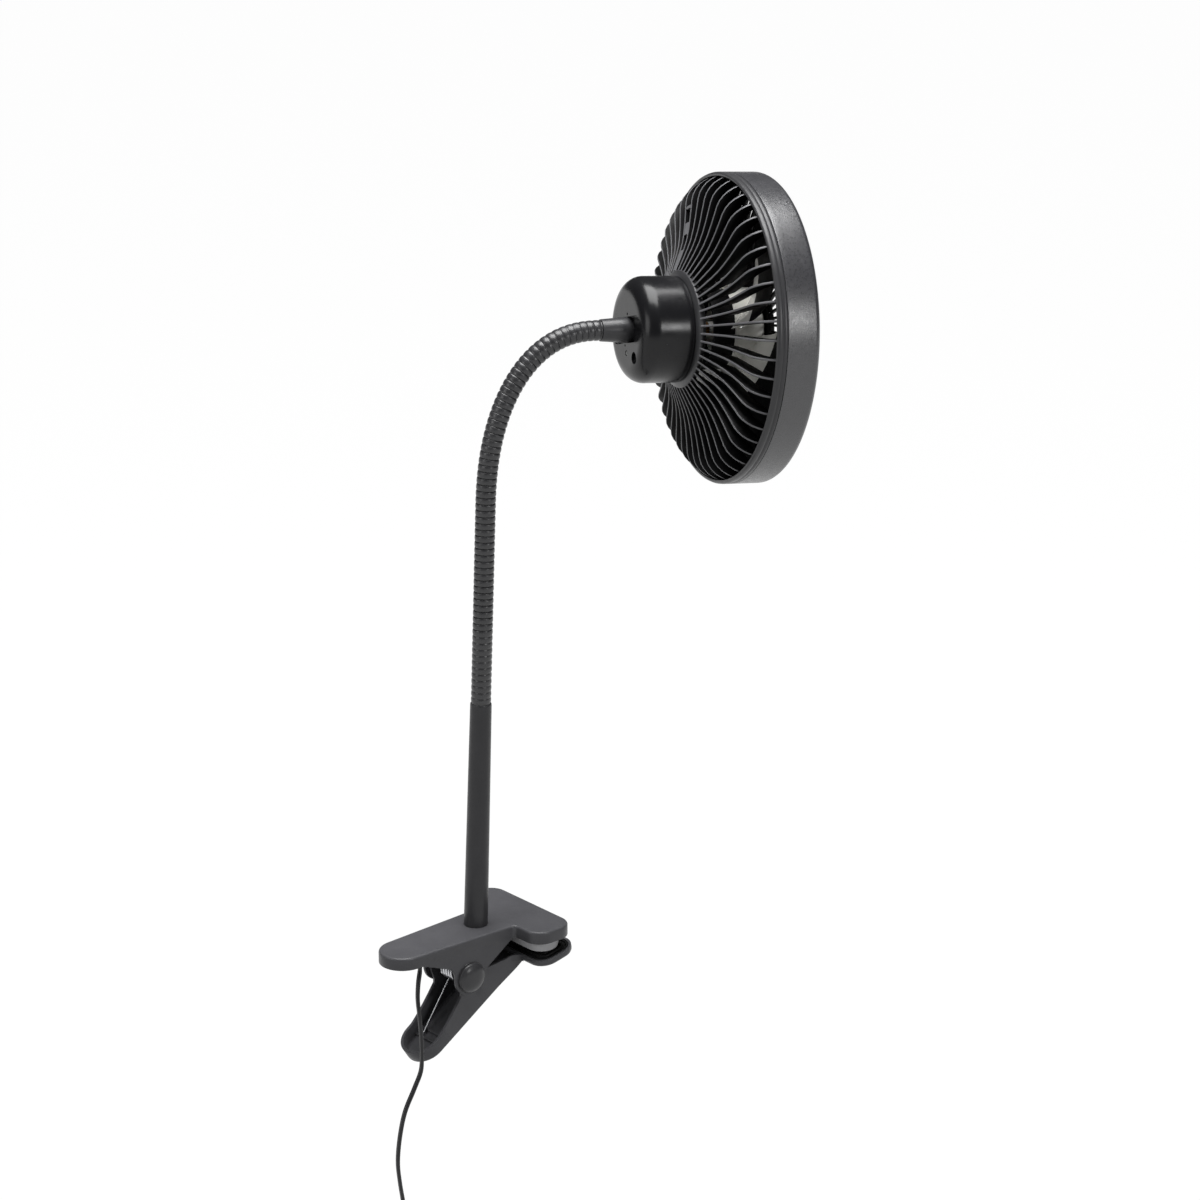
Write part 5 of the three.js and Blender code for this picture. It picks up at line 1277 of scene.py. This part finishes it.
def switch():
    """Two shells with a seam between them, and a button with a raised ring."""
    half, wide, deep = SWITCH_LENGTH / 2, 8.5, 5.5
    made = []
    for name, sign in (("front", -1), ("back", 1)):
        shell = Form()
        levels = [
            (1.4, 0.2), (0.1, 0.2), (0, 0.35), (0, deep - 2.2), (0.25, deep - 1.2), (0.9, deep - 0.35),
            (1.9, deep), (3.2, deep),
        ]
        rings = [
            [(x, sign * y, z) for x, z in rounded_box(wide - n, half - n, max(3 - n * 0.5, 0.6))]
            for n, y in levels
        ]
        shell.rings(rings)
        made.append(
            piece(
                f"switch_case_{name}", shell, switch_frame, "clamp", SATIN, f"switch_shell_{name}",
                slot="satin_black_plastic", sharp=50,
            ),
        )
    button = Form()
    levels = [(0, -3.9), (0, -6.2), (0.2, -6.75), (0.7, -7.1), (1.2, -7.1), (1.45, -6.85), (2.6, -6.85)]
    rings = [[(x, y, z) for x, z in rounded_box(4 - n, 6.5 - n, max(1.5 - n * 0.4, 0.3))] for n, y in levels]
    button.rings(rings)
    top = piece(
        "switch_key", button, switch_frame, "switch_button", RUBBER, "switch_button", slot="black_rubber",
        sharp=50,
    )
    frame_ring = Form()
    levels = [(-1.6, -5.4), (-1.5, -5.75), (-0.6, -5.75), (-0.4, -5.5), (-0.35, -4.6), (-1.6, -4.6)]
    frame_ring.rings(
        [[(x, y, z) for x, z in rounded_box(4 - n, 6.5 - n, 1.8)] for n, y in levels], close=True,
    )
    made.append(
        piece("switch_bezel", frame_ring, switch_frame, "clamp", SATIN, slot="satin_black_plastic", sharp=50),
    )
    return [*made, top, "switch_board"]


def tie():
    grow = HANK_SPACING * (HANK_LOOPS * 24 + 3) / 48
    half_x = HANK_FOLD - HANK_DIP + grow + CORD_THICK / 2 + 0.6
    half_y = HANK_LAYER / 2 + CORD_WIDTH / 2 + 0.3
    rings = []
    for grow_by, z in (
        (0, -2.8), (0.2, -3), (1.1, -3), (1.3, -2.8), (1.3, 2.8), (1.1, 3), (0.2, 3), (0, 2.8),
    ):
        rings.append([(x, y, z) for x, y in rounded_box(half_x + grow_by, half_y + grow_by, 1.2 + grow_by)])
    strap = Form().rings(rings, close=True)
    return piece(
        "cord_strap", strap, hank_frame, "clamp", RUBBER, "cord_tie", slot="satin_black_plastic", sharp=60,
    )


def plug():
    body = Form()
    levels = [(4.6, 0), (3.9, -0.3), (3.5, -1.2), (3.3, -4)]
    rings = [[(x, y, z) for x, y in rounded_box(7.75 - n, 4 - n * 0.42, 1.3)] for n, z in levels]
    for n, z in (
        (2.4, -4.6), (0.8, -5.3), (0.15, -6.4), (0, -8), (0, -23.2), (0.25, -23.8), (0.8, -24), (3, -24),
    ):
        rings.append([(x, y, z) for x, y in rounded_box(7.75 - n, 4 - min(n, 0.8) * 0.8, 1.7)])
    body.rings(rings)
    for i in range(4):
        z = -9.5 - i * 2.6
        for sign in (-1, 1):
            rib = [(-4.6, z), (4.6, z), (4.6, z - 1.2), (-4.6, z - 1.2)]
            low, high = (3.75, 4.0) if sign > 0 else (-4.0, -3.75)
            body.prism(rib, low, high, side=True)
    made = [
        piece("plug_grip", body, plug_frame, "clamp", RUBBER, "usb_plug_body", slot="black_rubber", sharp=50),
    ]
    top = -24.3
    shell = Form()
    levels = [(0.4, top), (0, top), (0, top - 17.6), (0.12, top - 18), (0.3, top - 18), (0.4, top - 17.8)]
    shell.rings([[(x, y, z) for x, y in rounded_box(6 - n, 2.25 - n, 0.6)] for n, z in levels], close=True)
    made.append(
        piece(
            "plug_shell", shell, plug_frame, "clamp", STEEL, "usb_plug_shell", slot="bright_steel", sharp=50,
        ),
    )
    return made


def inner_leads():
    """The lead under the plate and up the tube, and the short one in the head."""
    lean, yaw = tan(radians(STAND_LEAN)), radians(STAND_YAW)
    x, y = -43.1, -6.8
    route = [(x, y, -6), (x + 2, y, -6), (x + 8, y - 1.8, -5.6), (-29, -7, -5.8), (-22.5, -4.8, -7.4)]
    route += [(-16, -3.6, -10.4), (-10, -2.4, -12.5), (-5, -1.2, -13), (-1.4, -0.4, -11.7)]
    heights = [-8.5, -6, -3, 0, 4, 8, 16, 30, 50, 70, 100, TUBE_LENGTH - 12]
    route += [(z * lean * cos(yaw), z * lean * sin(yaw), z) for z in heights]
    line = smooth_path(route, 8)
    lead = Form().rings(swept(line, circle(1.2, 16)))
    piece("lead_in_tube", lead, clamp_frame, "clamp", CORD, "tube_lead", slot="black_rubber")
    short = smooth_path([(0, -1, 2), (0.05, -1, 5), (0, -1, 8), (0, -1, 11.2)], 5)
    head = Form().rings(swept(short, circle(1.25, 16)))
    piece("lead_in_head", head, head_frame, "head", CORD, "head_lead", slot="black_rubber")


def repaint():
    """Gives the CAD pieces that stay their finish."""
    paints = {
        STEEL: ["pivot_pin", "tube_nut", "tube_washer", "ferrule_nut", "motor_can", "motor_shaft"],
        BRONZE: ["rear_bearing", "front_bearing", "impeller_collar"],
        BOARD: ["circuit_board", "switch_board"],
        COPPER: ["armature"],
        FERRITE: ["motor_magnet"],
        SATIN: ["motor_end_plate", "usb_plug_tongue"],
    }
    for material, nodes in paints.items():
        for node in nodes:
            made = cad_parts[node]
            if made.material_slots:
                made.material_slots[0].material = material
            else:
                made.data.materials.append(material)


# ---------------------------------------------------------------- the whole fan

cords()
upper_jaw()
upper_pad()
pivot_caps()
lower_jaw()
lower_pad()
spring()
stand_tube()
gooseneck()
ferrule()
rear_housing()
screw_head("bracket_screw_head_near", "bracket_screw_near", -15.2, 0, 4, 2.8, 5)
screw_head("bracket_screw_head_far", "bracket_screw_far", 15.2, 0, 4, 2.8, 5)
screw_head("housing_screw_head", "housing_screw", *SCREW_HOLE, 7, 2.6, 6)
screw_head("motor_screw_head_upper", "motor_screw_upper", 0, 9, 32.5, 2.4, 4, -1)
screw_head("motor_screw_head_lower", "motor_screw_lower", 0, -9, 32.5, 2.4, 4, -1)
rear_grille()
bridging_blocks()
drum_band()
front_grille()
impeller()
indicator()
inner_leads()
repaint()

floor_and_light(cad_box[0].z)
bpy.context.scene.view_settings.view_transform = "Standard"
